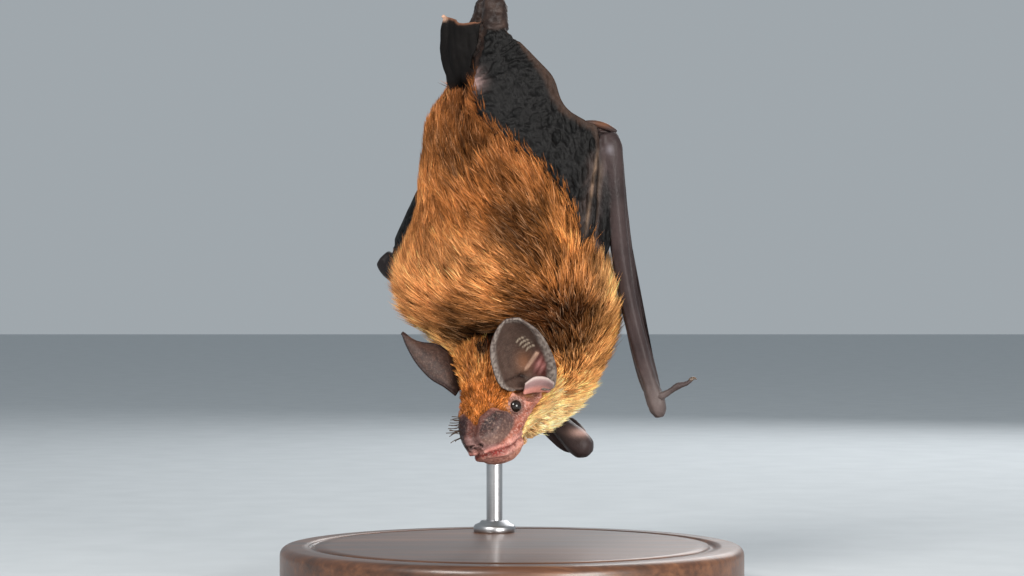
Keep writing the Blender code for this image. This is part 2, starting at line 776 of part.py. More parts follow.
def main():
    for obj in list(bpy.data.objects):
        bpy.data.objects.remove(obj)
    model = Model("vesper_bat")

    fur = material("golden brown fur", (150, 98, 52), 0.85)
    skin = material("dark wing skin", (58, 50, 48), 0.5)
    ear_skin = material("ear skin", (92, 72, 62), 0.5)
    eye_black = material("eye", (8, 6, 6), 0.08)
    wood = material("dark wood", (70, 48, 34), 0.45)
    metal = material("brushed steel", (150, 150, 152), 0.35, 1.0)
    bark = material("bark", (104, 84, 64), 0.85)

    trunk, neck = build_body(model, fur)
    _, head_room = build_head(model, fur, ear_skin, eye_black)
    cut(neck, head_room)

    left_room = build_arm(model, "left", LEFT_SHOULDER, LEFT_ELBOW, LEFT_WRIST, LEFT_HAND, LEFT_THUMB, skin)
    right_room = build_arm(
        model, "right", RIGHT_SHOULDER, RIGHT_ELBOW, RIGHT_WRIST, RIGHT_HAND, RIGHT_THUMB, skin
    )
    left_thigh = build_leg(model, "left", LEFT_HIP, LEFT_KNEE, LEFT_ANKLE, -FOOT_SPREAD, fur, skin)
    right_thigh = build_leg(model, "right", RIGHT_HIP, RIGHT_KNEE, RIGHT_ANKLE, FOOT_SPREAD, fur, skin)
    cut(trunk, left_room, right_room, left_thigh, right_thigh)

    build_membranes(model, skin)
    build_stand(model, wood, metal, bark)


main()
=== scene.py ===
"""The looks of a life-size vesper bat that hangs head down from a cut branch on a stand.

One skin stands for every fleshy part of the model. The coat is solid tufts that
grow out of it, and the eyes, claws, whiskers and stand are pieces of their own.
Sizes are in millimetres until a piece is finished, when MM turns them to metres.
"""

import logging
import math
from collections.abc import Callable, Iterable, Sequence
from dataclasses import dataclass
from enum import Enum

import bmesh
import bpy
import numpy as np
from mathutils import Matrix, Vector, noise
from mathutils.bvhtree import BVHTree
from mathutils.kdtree import KDTree

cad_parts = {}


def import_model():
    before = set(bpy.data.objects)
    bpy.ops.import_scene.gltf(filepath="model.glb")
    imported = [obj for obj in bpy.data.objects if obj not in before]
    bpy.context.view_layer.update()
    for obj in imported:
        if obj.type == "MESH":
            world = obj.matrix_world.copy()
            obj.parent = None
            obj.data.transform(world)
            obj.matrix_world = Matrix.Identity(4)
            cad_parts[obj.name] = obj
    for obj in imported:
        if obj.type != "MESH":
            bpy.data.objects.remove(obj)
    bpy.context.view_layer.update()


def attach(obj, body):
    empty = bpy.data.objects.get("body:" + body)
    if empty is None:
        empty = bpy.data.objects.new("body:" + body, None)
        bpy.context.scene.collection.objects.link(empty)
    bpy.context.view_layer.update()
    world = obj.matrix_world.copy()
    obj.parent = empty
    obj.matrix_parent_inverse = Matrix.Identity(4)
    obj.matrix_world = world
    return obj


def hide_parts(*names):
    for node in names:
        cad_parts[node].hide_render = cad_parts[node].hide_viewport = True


LOG = logging.getLogger("vesper_bat")
MM = 0.001
SEED = 11

Rows = Sequence[Sequence[float]]
Surface = Callable[[float, float], Vector]
Array = np.ndarray
Form = bmesh.types.BMesh
Finish = bpy.types.Material
Place = tuple[float, float, float]


class Region(Enum):
    """The part of the flesh that a face of the skin belongs to."""

    BODY = 0
    HEAD = 1
    EAR = 2
    WING = 3
    ARM = 4
    LEG = 5
    TAIL = 6
    THIGH = 7


# ------------------------------------------------------------------ curves and forms


def curve_at(points: Rows, position: float) -> list[float]:
    """Find a place on the smooth curve through rows of numbers.

    Args:
        points: the rows, at least two.
        position: the place, counted in rows from the first.

    Returns:
        The numbers of the row at that place.
    """
    last = len(points) - 1
    first = max(min(int(position), last - 1), 0)
    t = position - first
    a, b = points[max(first - 1, 0)], points[first]
    c, d = points[first + 1], points[min(first + 2, last)]
    return [
        0.5 * (2 * q + (r - p) * t + (2 * p - 5 * q + 4 * r - s) * t * t
               + (3 * q - p - 3 * r + s) * t**3)
        for p, q, r, s in zip(a, b, c, d)
    ]


def smooth(low: float, high: float, value: float) -> float:
    """Rise smoothly from 0 at low to 1 at high; low may be the larger."""
    t = min(max((value - low) / (high - low), 0.0), 1.0)
    return t * t * (3 - 2 * t)


def ease(low: float, high: float, value: Array) -> Array:
    """Rise smoothly from 0 at low to 1 at high, over an array."""
    t = np.clip((value - low) / (high - low), 0.0, 1.0)
    return t * t * (3 - 2 * t)


@dataclass(frozen=True)
class Ring:
    """One cross-section of a form: its middle, two directions and its half sizes."""

    middle: Vector
    side: Vector
    up: Vector
    half_side: float
    half_up: float
    half_down: float
    power: float = 2.0

    def point(self, angle: float, inset: float = 0.0) -> Vector:
        """Find the point at an angle, moved inwards by the inset.

        Args:
            angle: from the side direction towards the up direction.
            inset: how far inside the section's edge the point lies.

        Returns:
            The point in the model.
        """
        c, s = math.cos(angle), math.sin(angle)
        c = math.copysign(abs(c) ** (2 / self.power), c)
        s = math.copysign(abs(s) ** (2 / self.power), s)
        half = self.half_up if s > 0 else self.half_down
        wide = max(self.half_side - inset, self.half_side * 0.25)
        high = max(half - inset, half * 0.25)
        return self.middle + self.side * c * wide + self.up * s * high


def wrapped(surface: Surface, around: int, along: int) -> Form:
    """Wrap a grid into a closed form and close its two ends.

    Args:
        surface: gives the point for a turn and a length, both from 0 to 1.
        around: the number of faces round the form.
        along: the number of faces along it.

    Returns:
        The closed form, its faces pointing outwards.
    """
    bm = bmesh.new()
    bmesh.ops.create_grid(bm, x_segments=around, y_segments=along, size=0.5)
    for vert in bm.verts:
        vert.co = surface(vert.co.x + 0.5, vert.co.y + 0.5)
    bmesh.ops.remove_doubles(bm, verts=bm.verts, dist=1e-4)
    bmesh.ops.holes_fill(bm, edges=[e for e in bm.edges if e.is_boundary])
    bmesh.ops.recalc_face_normals(bm, faces=bm.faces)
    return bm


def stations(length: float, first: float, last: float, rows: int) -> list[tuple[float, float]]:
    """Space the rows of a limb, with rounded ends.

    Args:
        length: of the limb.
        first: the radius at its start, which its rounding takes up.
        last: the radius at its end.
        rows: the number of rows between the rounded ends.

    Returns:
        Each row's distance along the limb, and its share of the radius there.
    """
    cap = 5
    made = [(first * (1 - math.cos(a)), max(math.sin(a), 0.03))
        for a in np.linspace(0, math.pi / 2, cap)]
    made += [(first + (length - first - last) * i / rows, 1.0) for i in range(1, rows)]
    turns = np.linspace(math.pi / 2, 0, cap)
    made += [(length - last * (1 - math.cos(a)), max(math.sin(a), 0.03)) for a in turns]
    return made


@dataclass(frozen=True)
class Limb:
    """A smooth path with a radius at each of its points, skinned as a rounded tube."""

    points: Rows
    radii: Sequence[float]
    flatten: float = 1.0
    hint: Place = (0.0, -1.0, 0.0)
    sides: int = 24
    rows: int = 50
    relief: Callable[[float, float], float] | None = None

    def middle(self, share: float) -> Vector:
        """Find the place on the path at a share of its points."""
        return Vector(curve_at(self.points, share * (len(self.points) - 1)))

    def form(self, inset: float = 0.0) -> Form:
        """Skin the path.

        Args:
            inset: how far the surface lies inside the limb's radii.

        Returns:
            The closed form.
        """
        last = len(self.points) - 1
        length = sum((Vector(b) - Vector(a)).length for a, b in zip(self.points, self.points[1:]))
        spaced = stations(length, self.radii[0], self.radii[-1], self.rows)

        def surface(turn: float, along: float) -> Vector:
            """Give the limb's surface for a turn and a length."""
            distance, share = spaced[round(along * (len(spaced) - 1))]
            place = distance / length
            here = self.middle(place)
            ahead, behind = self.middle(min(place + 0.01, 1.0)), self.middle(max(place - 0.01, 0.0))
            way = (ahead - behind).normalized()
            side = way.cross(Vector(self.hint)).normalized()
            up = side.cross(way).normalized()
            radius = curve_at([(r,) for r in self.radii], place * last)[0] - inset
            radius = max(radius, 0.1) * share
            if self.relief is not None:
                radius += self.relief(turn, place) * share
            angle = 2 * math.pi * turn
            aside = side * math.cos(angle) * radius
            return here + aside + up * math.sin(angle) * radius * self.flatten

        return wrapped(surface, self.sides, len(spaced) - 1)


def rough(place: Vector, size: float, turn: int = 0) -> float:
    """Give a smooth random height from -1 to 1 at a place, with bumps of a size."""
    return noise.noise(place / size + Vector((17.3 * turn, 5.1 * turn, 0.0)))


def tinted(red: float, green: float, blue: float) -> Array:
    """Turn a colour's sRGB numbers, 0 to 255, into linear ones."""
    srgb = np.array([red, green, blue], float) / 255
    return np.where(srgb > 0.04045, ((srgb + 0.055) / 1.055) ** 2.4, srgb / 12.92)


def mottled(points: Array, size: float, turn: int) -> Array:
    """Give a smooth random share from 0 to 1 at each point, with patches of a size."""
    return np.array([rough(Vector(p), size, turn) for p in points]) * 0.5 + 0.5


def even(points: Array, red: float, green: float, blue: float) -> Array:
    """Give every point the same colour."""
    return np.tile(tinted(red, green, blue), (len(points), 1))


def relaxed(bm: Form, verts: Iterable[bmesh.types.BMVert], factor: float) -> None:
    """Draw corners towards the middle of their neighbours."""
    bmesh.ops.smooth_vert(
        bm, verts=list(verts), factor=factor, use_axis_x=True, use_axis_y=True, use_axis_z=True
    )


def bell(values: Array, wide: float) -> Array:
    """Give 1 where a value is 0, falling away over a width."""
    return np.exp(-((values / wide) ** 2))


def mirrored(local: Array) -> Array:
    """Give each place in the head's own axes, or its mirror on the left side."""
    return np.stack([local[:, 0], np.abs(local[:, 1]), local[:, 2]], 1)


# ------------------------------------------------------------------ pieces


def finished(name: str, bm: Form, finishes: Sequence[Finish], slot: str,
             *nodes: str) -> bpy.types.Object:
    """Make a piece of a form in millimetres, and ride it on the frame.

    Args:
        name: of the piece.
        bm: its form, which is freed.
        finishes: its materials, in the order of the faces' material numbers.
        slot: the name of a material slot, passed on to settled, which does not use it.
        nodes: the nodes of the frame that it stands for.

    Returns:
        The piece's object.
    """
    bmesh.ops.transform(bm, matrix=Matrix.Scale(MM, 4), verts=bm.verts)
    mesh = bpy.data.meshes.new(name)
    bm.to_mesh(mesh)
    bm.free()
    mesh.shade_smooth()
    return settled(name, mesh, finishes, slot, *nodes)


def settled(name: str, mesh: bpy.types.Mesh, finishes: Sequence[Finish], slot: str,
            *nodes: str) -> bpy.types.Object:
    """Link a finished mesh, dress it, and ride it on the frame.

    Args:
        name: of the piece.
        mesh: in metres.
        finishes: its materials.
        slot: the name of a material slot; it is not used.
        nodes: the nodes of the frame that it stands for.

    Returns:
        The piece's object.
    """
    for finish in finishes:
        mesh.materials.append(finish)
    obj = bpy.data.objects.new(name, mesh)
    bpy.context.scene.collection.objects.link(obj)
    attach(obj, "root")
    if nodes:
        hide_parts(*nodes)
    count = sum(len(p.vertices) - 2 for p in mesh.polygons)
    LOG.info("%s: %d triangles", name, count)
    return obj


# ------------------------------------------------------------------ shader nodes


class Sock:
    """A socket whose arithmetic adds Math nodes."""

    def __init__(self, shader: "Shader", socket: bpy.types.NodeSocket) -> None:
        """Keep the socket and the shader it belongs to."""
        self.shader = shader
        self.socket = socket

    def _math(self, operation: str, first: "Sock | float", second: "Sock | float") -> "Sock":
        """Add a Math node on two values."""
        return self.shader.node("ShaderNodeMath", {"operation": operation}, {0: first, 1: second})

    def __add__(self, other: "Sock | float") -> "Sock":
        """Add."""
        return self._math("ADD", self, other)

    def __radd__(self, other: float) -> "Sock":
        """Add to a number."""
        return self._math("ADD", other, self)

    def __sub__(self, other: "Sock | float") -> "Sock":
        """Subtract."""
        return self._math("SUBTRACT", self, other)

    def __rsub__(self, other: float) -> "Sock":
        """Subtract from a number."""
        return self._math("SUBTRACT", other, self)

    def __mul__(self, other: "Sock | float") -> "Sock":
        """Multiply."""
        return self._math("MULTIPLY", self, other)

    def __rmul__(self, other: float) -> "Sock":
        """Multiply a number."""
        return self._math("MULTIPLY", other, self)


class Shader:
    """A material's nodes, round one Principled shader."""

    def __init__(self, name: str) -> None:
        """Start a material of that name."""
        self.material = bpy.data.materials.new(name)
        self.material.use_nodes = True
        self.tree = self.material.node_tree
        self.principled = self.tree.nodes["Principled BSDF"]

    def node(self, kind: str, settings: dict[str, object], sockets: dict[int | str, object],
             output: int | str = 0) -> Sock:
        """Add a node.

        Args:
            kind: the node's type.
            settings: its properties, which are set first.
            sockets: a value or a Sock for each input by name or number.
            output: which output is wanted.

        Returns:
            The output.
        """
        made = self.tree.nodes.new(kind)
        for key, value in settings.items():
            if key == "stops":
                self._stop(made.color_ramp, value)
            else:
                setattr(made, key, value)
        for key, value in sockets.items():
            self._feed(made.inputs[key], value)
        return Sock(self, made.outputs[output])

    @staticmethod
    def _stop(ramp: bpy.types.ColorRamp, stops: Sequence[tuple[float, Sequence[float]]]) -> None:
        """Set a ramp's stops, each a place and a colour."""
        while len(ramp.elements) < len(stops):
            ramp.elements.new(0.5)
        for element, (place, colour) in zip(ramp.elements, stops):
            element.position = place
            element.color = (*colour, 1.0)

    def _feed(self, socket: bpy.types.NodeSocket, value: object) -> None:
        """Link a Sock to an input, or set the input's value."""
        if isinstance(value, Sock):
            self.tree.links.new(value.socket, socket)
        else:
            socket.default_value = value

    def place(self, stretch: Sequence[float] = (1.0, 1.0, 1.0)) -> Sock:
        """Give the object's coordinates, stretched along each axis."""
        here = self.node("ShaderNodeTexCoord", {}, {}, "Object")
        return self.node("ShaderNodeMapping", {}, {"Vector": here, "Scale": tuple(stretch)})

    def grain(self, size: float, detail: float = 3.0, where: Sock | None = None,
            roughness: float = 0.5) -> Sock:
        """Give noise whose features are a size in millimetres."""
        sockets = {"Scale": 1.0 / (size * MM), "Detail": detail, "Roughness": roughness}
        sockets["Vector"] = where or self.place()
        return self.node("ShaderNodeTexNoise", {}, sockets)

    def cells(self, size: float, where: Sock | None = None) -> Sock:
        """Give the distance to the nearest of many cells of a size in millimetres."""
        sockets = {"Scale": 1.0 / (size * MM), "Vector": where or self.place()}
        return self.node("ShaderNodeTexVoronoi", {"feature": "F1"}, sockets, "Distance")

    def colour(self, name: str) -> Sock:
        """Read a colour attribute."""
        return self.node("ShaderNodeAttribute", {"attribute_name": name}, {}, "Color")

    def value(self, name: str) -> Sock:
        """Read a number attribute."""
        return self.node("ShaderNodeAttribute", {"attribute_name": name}, {}, "Fac")

    def ramp(self, factor: Sock, *stops: tuple[float, Sequence[float]]) -> Sock:
        """Turn a number into a colour."""
        return self.node("ShaderNodeValToRGB", {"stops": stops}, {0: factor}, "Color")

    def mix(self, factor: "Sock | float", first: object, second: object) -> Sock:
        """Mix two colours."""
        sockets = {"Factor": factor, 6: first, 7: second}
        return self.node("ShaderNodeMix", {"data_type": "RGBA", "blend_type": "MIX"}, sockets, 2)

    def scaled(self, colour: Sock, amount: Sock) -> Sock:
        """Make a colour lighter or darker by a number."""
        sockets = {0: colour, "Scale": amount}
        return self.node("ShaderNodeVectorMath", {"operation": "SCALE"}, sockets, 0)

    def bump(self, height: Sock, distance: float, strength: float = 1.0,
            under: Sock | None = None) -> Sock:
        """Give a normal from heights that stand a distance in millimetres apart."""
        sockets = {"Height": height, "Distance": distance * MM, "Strength": strength}
        if under is not None:
            sockets["Normal"] = under
        return self.node("ShaderNodeBump", {}, sockets)

    def finish(self, **sockets: object) -> Finish:
        """Feed the shader's own inputs, with _ for a space in each name."""
        for key, value in sockets.items():
            self._feed(self.principled.inputs[key.replace("_", " ")], value)
        return self.material


@dataclass(frozen=True)
class SkinFinish:
    """Bare and furred skin: its colour and gloss come from the skin's attributes."""

    pore: float = 0.28
    blotch: float = 1.7
    pebble: float = 0.62

    def make(self) -> Finish:
        """Make the material."""
        s = Shader("bat skin")
        tint = s.colour("tint")
        pebbled = s.value("pebble")
        blotches = s.grain(self.blotch, 4.0)
        pores = s.cells(self.pore)
        fine = s.grain(self.pore * 0.8, 2.0)
        folds = s.cells(self.pebble, s.place((1.0, 1.0, 0.62)))
        shade = 0.62 + 0.5 * blotches + 0.28 * fine
        # Painted shade: the colour darkens towards the edges of the pebbles' cells, in the creases
        # that the bump below sinks.
        crease = 1.0 - pebbled * (0.3 * folds)
        base = s.scaled(tint, shade * crease)
        speck = s.ramp(s.grain(0.3, 3.0), (0.5, (0, 0, 0)), (0.68, (1, 1, 1)))
        dark = s.ramp(s.grain(0.55, 3.0), (0.36, (1, 1, 1)), (0.5, (0, 0, 0)))
        base = s.mix(s.value("speck") * 0.6 * dark, base, (0.11, 0.022, 0.014, 1))
        # Pale specks on the bare face and ears, partly paler skin and partly painted glints.
        base = s.mix(s.value("speck") * 0.45 * speck, base, (0.62, 0.42, 0.36, 1))
        rough = s.value("gloss") + 0.22 * (blotches - 0.5) + 0.12 * (fine - 0.5)
        small = s.bump(0.6 * pores + 0.5 * fine, 0.05, 0.75)
        normal = s.bump(pebbled * (1.0 - folds) + 0.3 * pebbled * blotches, 0.16, 1.0, small)
        return s.finish(Base_Color=base, Roughness=rough, Normal=normal, Specular_IOR_Level=0.15)


@dataclass(frozen=True)
class CoatFinish:
    """Soft hair: its colour comes from each tuft's attribute."""

    def make(self) -> Finish:
        """Make the material."""
        s = Shader("bat coat")
        tint = s.colour("tint")
        streak = s.grain(0.5, 3.0, s.place((1.0, 1.0, 0.35)))
        base = s.scaled(tint, 0.72 + 0.56 * streak)
        rough = 0.46 + 0.2 * streak
        return s.finish(
            Base_Color=base, Roughness=rough, Specular_IOR_Level=0.06
        )


@dataclass(frozen=True)
class EyeFinish:
    """A wet black eye with a dark brown iris."""

    def make(self) -> Finish:
        """Make the material."""
        s = Shader("bat eye")
        fibre = s.grain(0.3, 4.0)
        base = s.ramp(fibre, (0.3, (0.004, 0.003, 0.003)), (0.75, (0.02, 0.012, 0.008)))
        return s.finish(
            Base_Color=base, Roughness=0.12 + 0.06 * fibre, Specular_IOR_Level=0.5
        )


@dataclass(frozen=True)
class ClawFinish:
    """Dark translucent horn, paler towards the point."""

    def make(self) -> Finish:
        """Make the material."""
        s = Shader("bat claw")
        growth = s.grain(0.4, 3.0, s.place((1.0, 1.0, 2.5)))
        base = s.ramp(growth, (0.3, tuple(tinted(46, 36, 30))), (0.8, tuple(tinted(112, 90, 70))))
        return s.finish(Base_Color=base, Roughness=0.28 + 0.2 * growth,
            Normal=s.bump(growth, 0.05, 0.5))


@dataclass(frozen=True)
class WhiskerFinish:
    """Dark stiff hairs."""

    def make(self) -> Finish:
        """Make the material."""
        s = Shader("whiskers")
        grain = s.grain(1.0, 2.0)
        base = s.ramp(grain, (0.2, tuple(tinted(36, 28, 24))), (0.9, tuple(tinted(88, 70, 58))))
        return s.finish(Base_Color=base, Roughness=0.45 + 0.1 * grain)


@dataclass(frozen=True)
class WoodFinish:
    """Dark turned wood under a satin varnish, its grain along the X axis."""

    grain_size: float = 1.1

    def make(self) -> Finish:
        """Make the material."""
        s = Shader("dark wood")
        wander = s.grain(26.0, 2.0)
        along = s.place((0.045, 1.0, 1.0))
        grain = s.grain(self.grain_size, 5.0, along, 0.62)
        band = s.grain(7.0, 3.0, s.place((0.12, 1.0, 1.0)))
        pores = s.cells(0.5, s.place((0.06, 1.0, 1.0)))
        tone = 0.45 * grain + 0.4 * band + 0.15 * wander
        stops = (
            (0.32, tuple(tinted(42, 25, 16))),
            (0.5, tuple(tinted(84, 52, 33))),
            (0.68, tuple(tinted(122, 80, 52))),
        )
        base = s.ramp(tone, *stops)
        rough = 0.3 + 0.22 * grain
        normal = s.bump(0.5 * grain + 0.5 * pores, 0.06, 0.5)
        return s.finish(Base_Color=base, Roughness=rough, Normal=normal, Coat_Weight=0.25,
            Coat_Roughness=0.18)


@dataclass(frozen=True)
class SteelFinish:
    """Steel rod brushed round its length."""

    def make(self) -> Finish:
        """Make the material."""
        s = Shader("brushed steel")
        brush = s.grain(0.35, 3.0, s.place((0.2, 0.2, 3.5)))
        smear = s.grain(9.0, 3.0)
        base = s.ramp(0.6 * smear + 0.4 * brush, (0.25, (0.33, 0.33, 0.34)),
            (0.8, (0.55, 0.55, 0.56)))
        rough = 0.24 + 0.16 * brush + 0.1 * smear
        return s.finish(Base_Color=base, Metallic=1.0, Roughness=rough,
            Normal=s.bump(brush, 0.02, 0.4))


@dataclass(frozen=True)
class BarkFinish:
    """Grey-brown bark, and pale end grain where the branch is cut."""

    def make(self) -> Finish:
        """Make the material."""
        s = Shader("bark")
        plates = s.cells(2.6, s.place((1.0, 0.32, 1.0)))
        fine = s.grain(0.7, 5.0, s.place((1.0, 0.4, 1.0)))
        patch = s.grain(7.0, 3.0)
        stops = (
            (0.2, tuple(tinted(52, 40, 31))),
            (0.48, tuple(tinted(104, 84, 66))),
            (0.78, tuple(tinted(150, 132, 110))),
        )
        bark = s.ramp(0.35 * fine + 0.4 * patch + 0.3 * plates, *stops)
        rings = s.node("ShaderNodeMath", {"operation": "SINE"}, {0: s.value("ring") * 9.0})
        wood_stops = ((0.1, tuple(tinted(168, 132, 92))), (0.9, tuple(tinted(214, 184, 142))))
        wood = s.ramp(0.5 + 0.28 * rings + 0.5 * (fine - 0.5), *wood_stops)
        cut = s.value("cut")
        base = s.mix(cut, bark, wood)
        normal = s.bump((0.5 * fine + 0.5 * plates) * (1.0 - 0.8 * cut), 0.35, 0.9)
        return s.finish(Base_Color=base, Roughness=0.78 + 0.14 * (fine - 0.5), Normal=normal)


@dataclass(frozen=True)
class FloorFinish:
    """A plain pale floor with a faint grain."""

    def make(self) -> Finish:
        """Make the material."""
        s = Shader("pale floor")
        grain = s.grain(14.0, 3.0)
        base = s.ramp(grain, (0.3, (0.5, 0.53, 0.55)), (0.7, (0.54, 0.57, 0.59)))
        return s.finish(Base_Color=base, Roughness=0.8 + 0.05 * grain)


# ------------------------------------------------------------------ the trunk and head


@dataclass(frozen=True)
class Trunk:
    """The trunk and neck under the coat, from rump to throat."""

    rows: Rows = (
        (-9.8, 1.0, 96.0, 1.2, 1.2), (-10.5, 1.0, 93.6, 4.4, 3.6), (-8.9, 1.2, 87.4, 9.6, 7.8),
        (-5.4, 1.5, 79.4, 14.6, 11.2), (-2.9, 1.9, 71.0, 18.4, 13.6), (-2.0, 2.0, 62.0, 21.6, 15.4),
        (-0.7, 2.4, 54.0, 22.2, 15.4), (2.6, 3.6, 46.0, 18.0, 12.6), (4.4, 4.6, 38.0, 12.6, 9.6),
        (4.0, 4.8, 31.2, 6.6, 6.2), (3.4, 4.8, 28.0, 2.2, 2.4),
    )
    hip_turn: float = math.radians(48)
    chest_turn: float = math.radians(33)
    chest_height: float = 62.0
    coat_depth: float = 1.9
    # Hollows of the back: x, z, reach across, reach along, and depth
    hollows: Rows = (
        (4.6, 63.5, 3.2, 5.2, 1.5), (-6.6, 79.0, 1.1, 7.0, 0.9), (10.5, 50.5, 4.5, 3.6, 1.3),
        (-0.5, 49.0, 9.0, 1.6, 1.2), (-10.5, 62.0, 1.2, 7.0, 0.6), (-13.8, 52.0, 1.4, 4.0, 0.7),
        (9.5, 76.0, 1.4, 5.0, -0.7),
    )

    def ring(self, share: float) -> Ring:
        """Give the cross-section at a share of the rows."""
        x, y, z, wide, deep = curve_at(self.rows, share * (len(self.rows) - 1))
        part = min(max((self.rows[0][2] - z) / (self.rows[0][2] - self.chest_height), 0.0), 1.0)
        turn = self.hip_turn + (self.chest_turn - self.hip_turn) * part
        left = Vector((math.cos(turn), -math.sin(turn), 0))
        back = Vector((-math.sin(turn), -math.cos(turn), 0))
        return Ring(Vector((x, y, z)), left, back, wide, deep, deep, 2.15)

    def form(self) -> Form:
        """Skin the trunk inside its coat, with the hollows of the back."""

        def surface(turn: float, along: float) -> Vector:
            """Give the trunk's surface inside its coat."""
            return self.ring(along).point(2 * math.pi * turn, self.coat_depth)

        bm = wrapped(surface, 76, 84)
        for vert in bm.verts:
            facing = smooth(2.0, -5.0, vert.co.y)
            depth = 0.18 * rough(vert.co, 3.0)
            for x, z, across, along, sink in self.hollows:
                near = ((vert.co.x - x) / across) ** 2 + ((vert.co.z - z) / along) ** 2
                depth += sink * math.exp(-near) * facing
            vert.co.y += depth
        return bm

    def unwrap(self, points: Array) -> Array:
        """Lay points out by their turn round the trunk and their height."""
        middles = np.array([row[:3] for row in self.rows][::-1])
        x = np.interp(points[:, 2], middles[:, 2], middles[:, 0])
        y = np.interp(points[:, 2], middles[:, 2], middles[:, 1])
        turn = np.arctan2(points[:, 1] - y, points[:, 0] - x) / (2 * math.pi) + 0.5
        return np.stack([turn, (points[:, 2] - 25.0) / 90.0], 1)


@dataclass(frozen=True)
class Swelling:
    """A place on the face that stands out or, with a minus height, is sunk."""

    nose: float
    left: float
    crown: float
    reach: Place
    height: float


@dataclass(frozen=True)
class Head:
    """The head under its coat, in its own axes: towards the nose, its left and its crown."""

    at: Vector = Vector((-2.7, -8.0, 37.3))
    nose: Vector = Vector((-0.284, -0.683, -0.673)).normalized()
    left: Vector = Vector((0.823, -0.534, 0.195)).normalized()
    # From back to nose: distance, lift, half width, half above, half below
    rows: Rows = (
        (-10.4, 0.0, 2.6, 2.4, 2.4), (-9.2, 0.0, 5.6, 5.2, 5.4), (-6.0, 0.0, 8.6, 7.9, 8.4),
        (-2.0, 0.0, 9.5, 8.5, 9.2), (1.6, -0.2, 8.5, 7.5, 8.6), (5.2, -0.6, 6.7, 6.1, 7.6),
        (8.0, -1.0, 5.3, 4.9, 7.0), (10.4, -1.2, 4.3, 4.2, 6.4), (12.4, -1.3, 3.6, 3.6, 5.2),
        (13.7, -1.3, 2.6, 2.8, 3.4), (14.4, -1.2, 1.1, 1.2, 1.5),
    )
    coat_depth: float = 1.0
    swellings: tuple[Swelling, ...] = (
        Swelling(10.1, 4.4, 0.9, (3.0, 1.9, 2.0), 0.7),
        Swelling(5.4, 6.6, 0.4, (2.0, 2.0, 2.0), -0.6),
        Swelling(13.7, 1.5, 1.2, (1.2, 1.0, 1.0), 0.6),
        Swelling(13.6, 0.0, -4.6, (1.4, 3.0, 1.5), -0.7),
        Swelling(6.7, 5.0, 1.7, (0.6, 0.6, 0.5), 0.4),
        Swelling(11.4, 3.0, -4.2, (2.4, 1.2, 0.8), 0.35),
        Swelling(8.0, 5.6, -3.4, (2.6, 1.4, 0.9), 0.4),
        Swelling(2.6, 7.6, -1.4, (1.6, 1.4, 0.9), 0.5),
        Swelling(-3.4, 6.6, 5.4, (4.0, 3.4, 4.0), 1.0),
        Swelling(0.6, 7.6, 3.0, (3.2, 3.6, 3.2), -2.2),
        Swelling(8.5, 2.0, -7.4, (3.6, 3.0, 3.0), 1.3),
    )
    eye_at: Place = (5.15, 5.75, 0.05)
    eye_axis: Place = (0.5, 0.8, 0.35)
    eye_radius: float = 1.25
    eye_opening: float = 0.84
    mouth_front: tuple[float, float] = (14.4, -2.5)
    mouth_corner: tuple[float, float] = (6.6, -5.6)
    nostril: Place = (14.3, 1.1, -0.2)
    # The pad's middle on the flat view, its lean as a cosine and sine, and its half sizes
    pad_at: tuple[float, float] = (-0.1, -6.1)
    pad_lean: tuple[float, float] = (0.737, 0.676)
    pad_reach: tuple[float, float] = (3.8, 2.6)
    # Right and up as one looks straight at the left cheek
    flat_right: Vector = Vector((-0.285, 0.823, -0.494))
    flat_up: Vector = Vector((-0.673, 0.196, 0.715))
    # The bare strip of each cheek, from the chin up to the ear
    cheek: Rows = (
        (13.8, 1.2, -3.6), (11.6, 3.4, -4.0), (9.2, 5.0, -3.4), (7.0, 6.2, -2.2), (4.6, 7.2, -1.6),
        (2.4, 8.2, -1.2), (0.8, 9.2, -1.4),
    )

    @property
    def crown(self) -> Vector:
        """The direction up out of the crown."""
        return self.nose.cross(self.left).normalized()

    def place(self, nose: float, left: float, crown: float) -> Vector:
        """Turn a place in the head's own axes into a point of the model."""
        return self.at + self.nose * nose + self.left * left + self.crown * crown

    def local(self, points: Array) -> Array:
        """Turn points of the model into the head's own axes."""
        axes = np.array([self.nose, self.left, self.crown])
        return (points - np.array(self.at)) @ axes.T

    def world(self, local: Array) -> Array:
        """Turn places in the head's own axes into points of the model."""
        return local @ np.array([self.nose, self.left, self.crown]) + np.array(self.at)

    def ring(self, share: float) -> Ring:
        """Give the cross-section at a share of the rows."""
        n, lift, wide, above, below = curve_at(self.rows, share * (len(self.rows) - 1))
        return Ring(self.place(n, 0, lift), self.left, self.crown, wide, above, below, 2.15)

    def eye_distance(self, local: Array) -> Array:
        """Measure how far each place is from the axis of the eye on its side."""
        out = np.array(self.eye_axis) / np.linalg.norm(self.eye_axis)
        gap = mirrored(local) - np.array(self.eye_at)
        across = gap - np.outer(gap @ out, out)
        return np.linalg.norm(across, axis=1) + 4.0 * (gap @ out < -3.0)

    def strip_distance(self, local: Array) -> Array:
        """Measure how far each place is from the bare strip of the cheek on its side."""
        places = np.array([curve_at(self.cheek, i / 6)
            for i in range(6 * (len(self.cheek) - 1) + 1)])
        return np.sqrt(((mirrored(local)[:, None, :] - places[None]) ** 2).sum(2)).min(1)

    def flat(self, local: Array) -> Array:
        """Give each place, or its mirror on the left, as seen straight at the left cheek."""
        return mirrored(local) @ np.array([self.flat_right, self.flat_up]).T

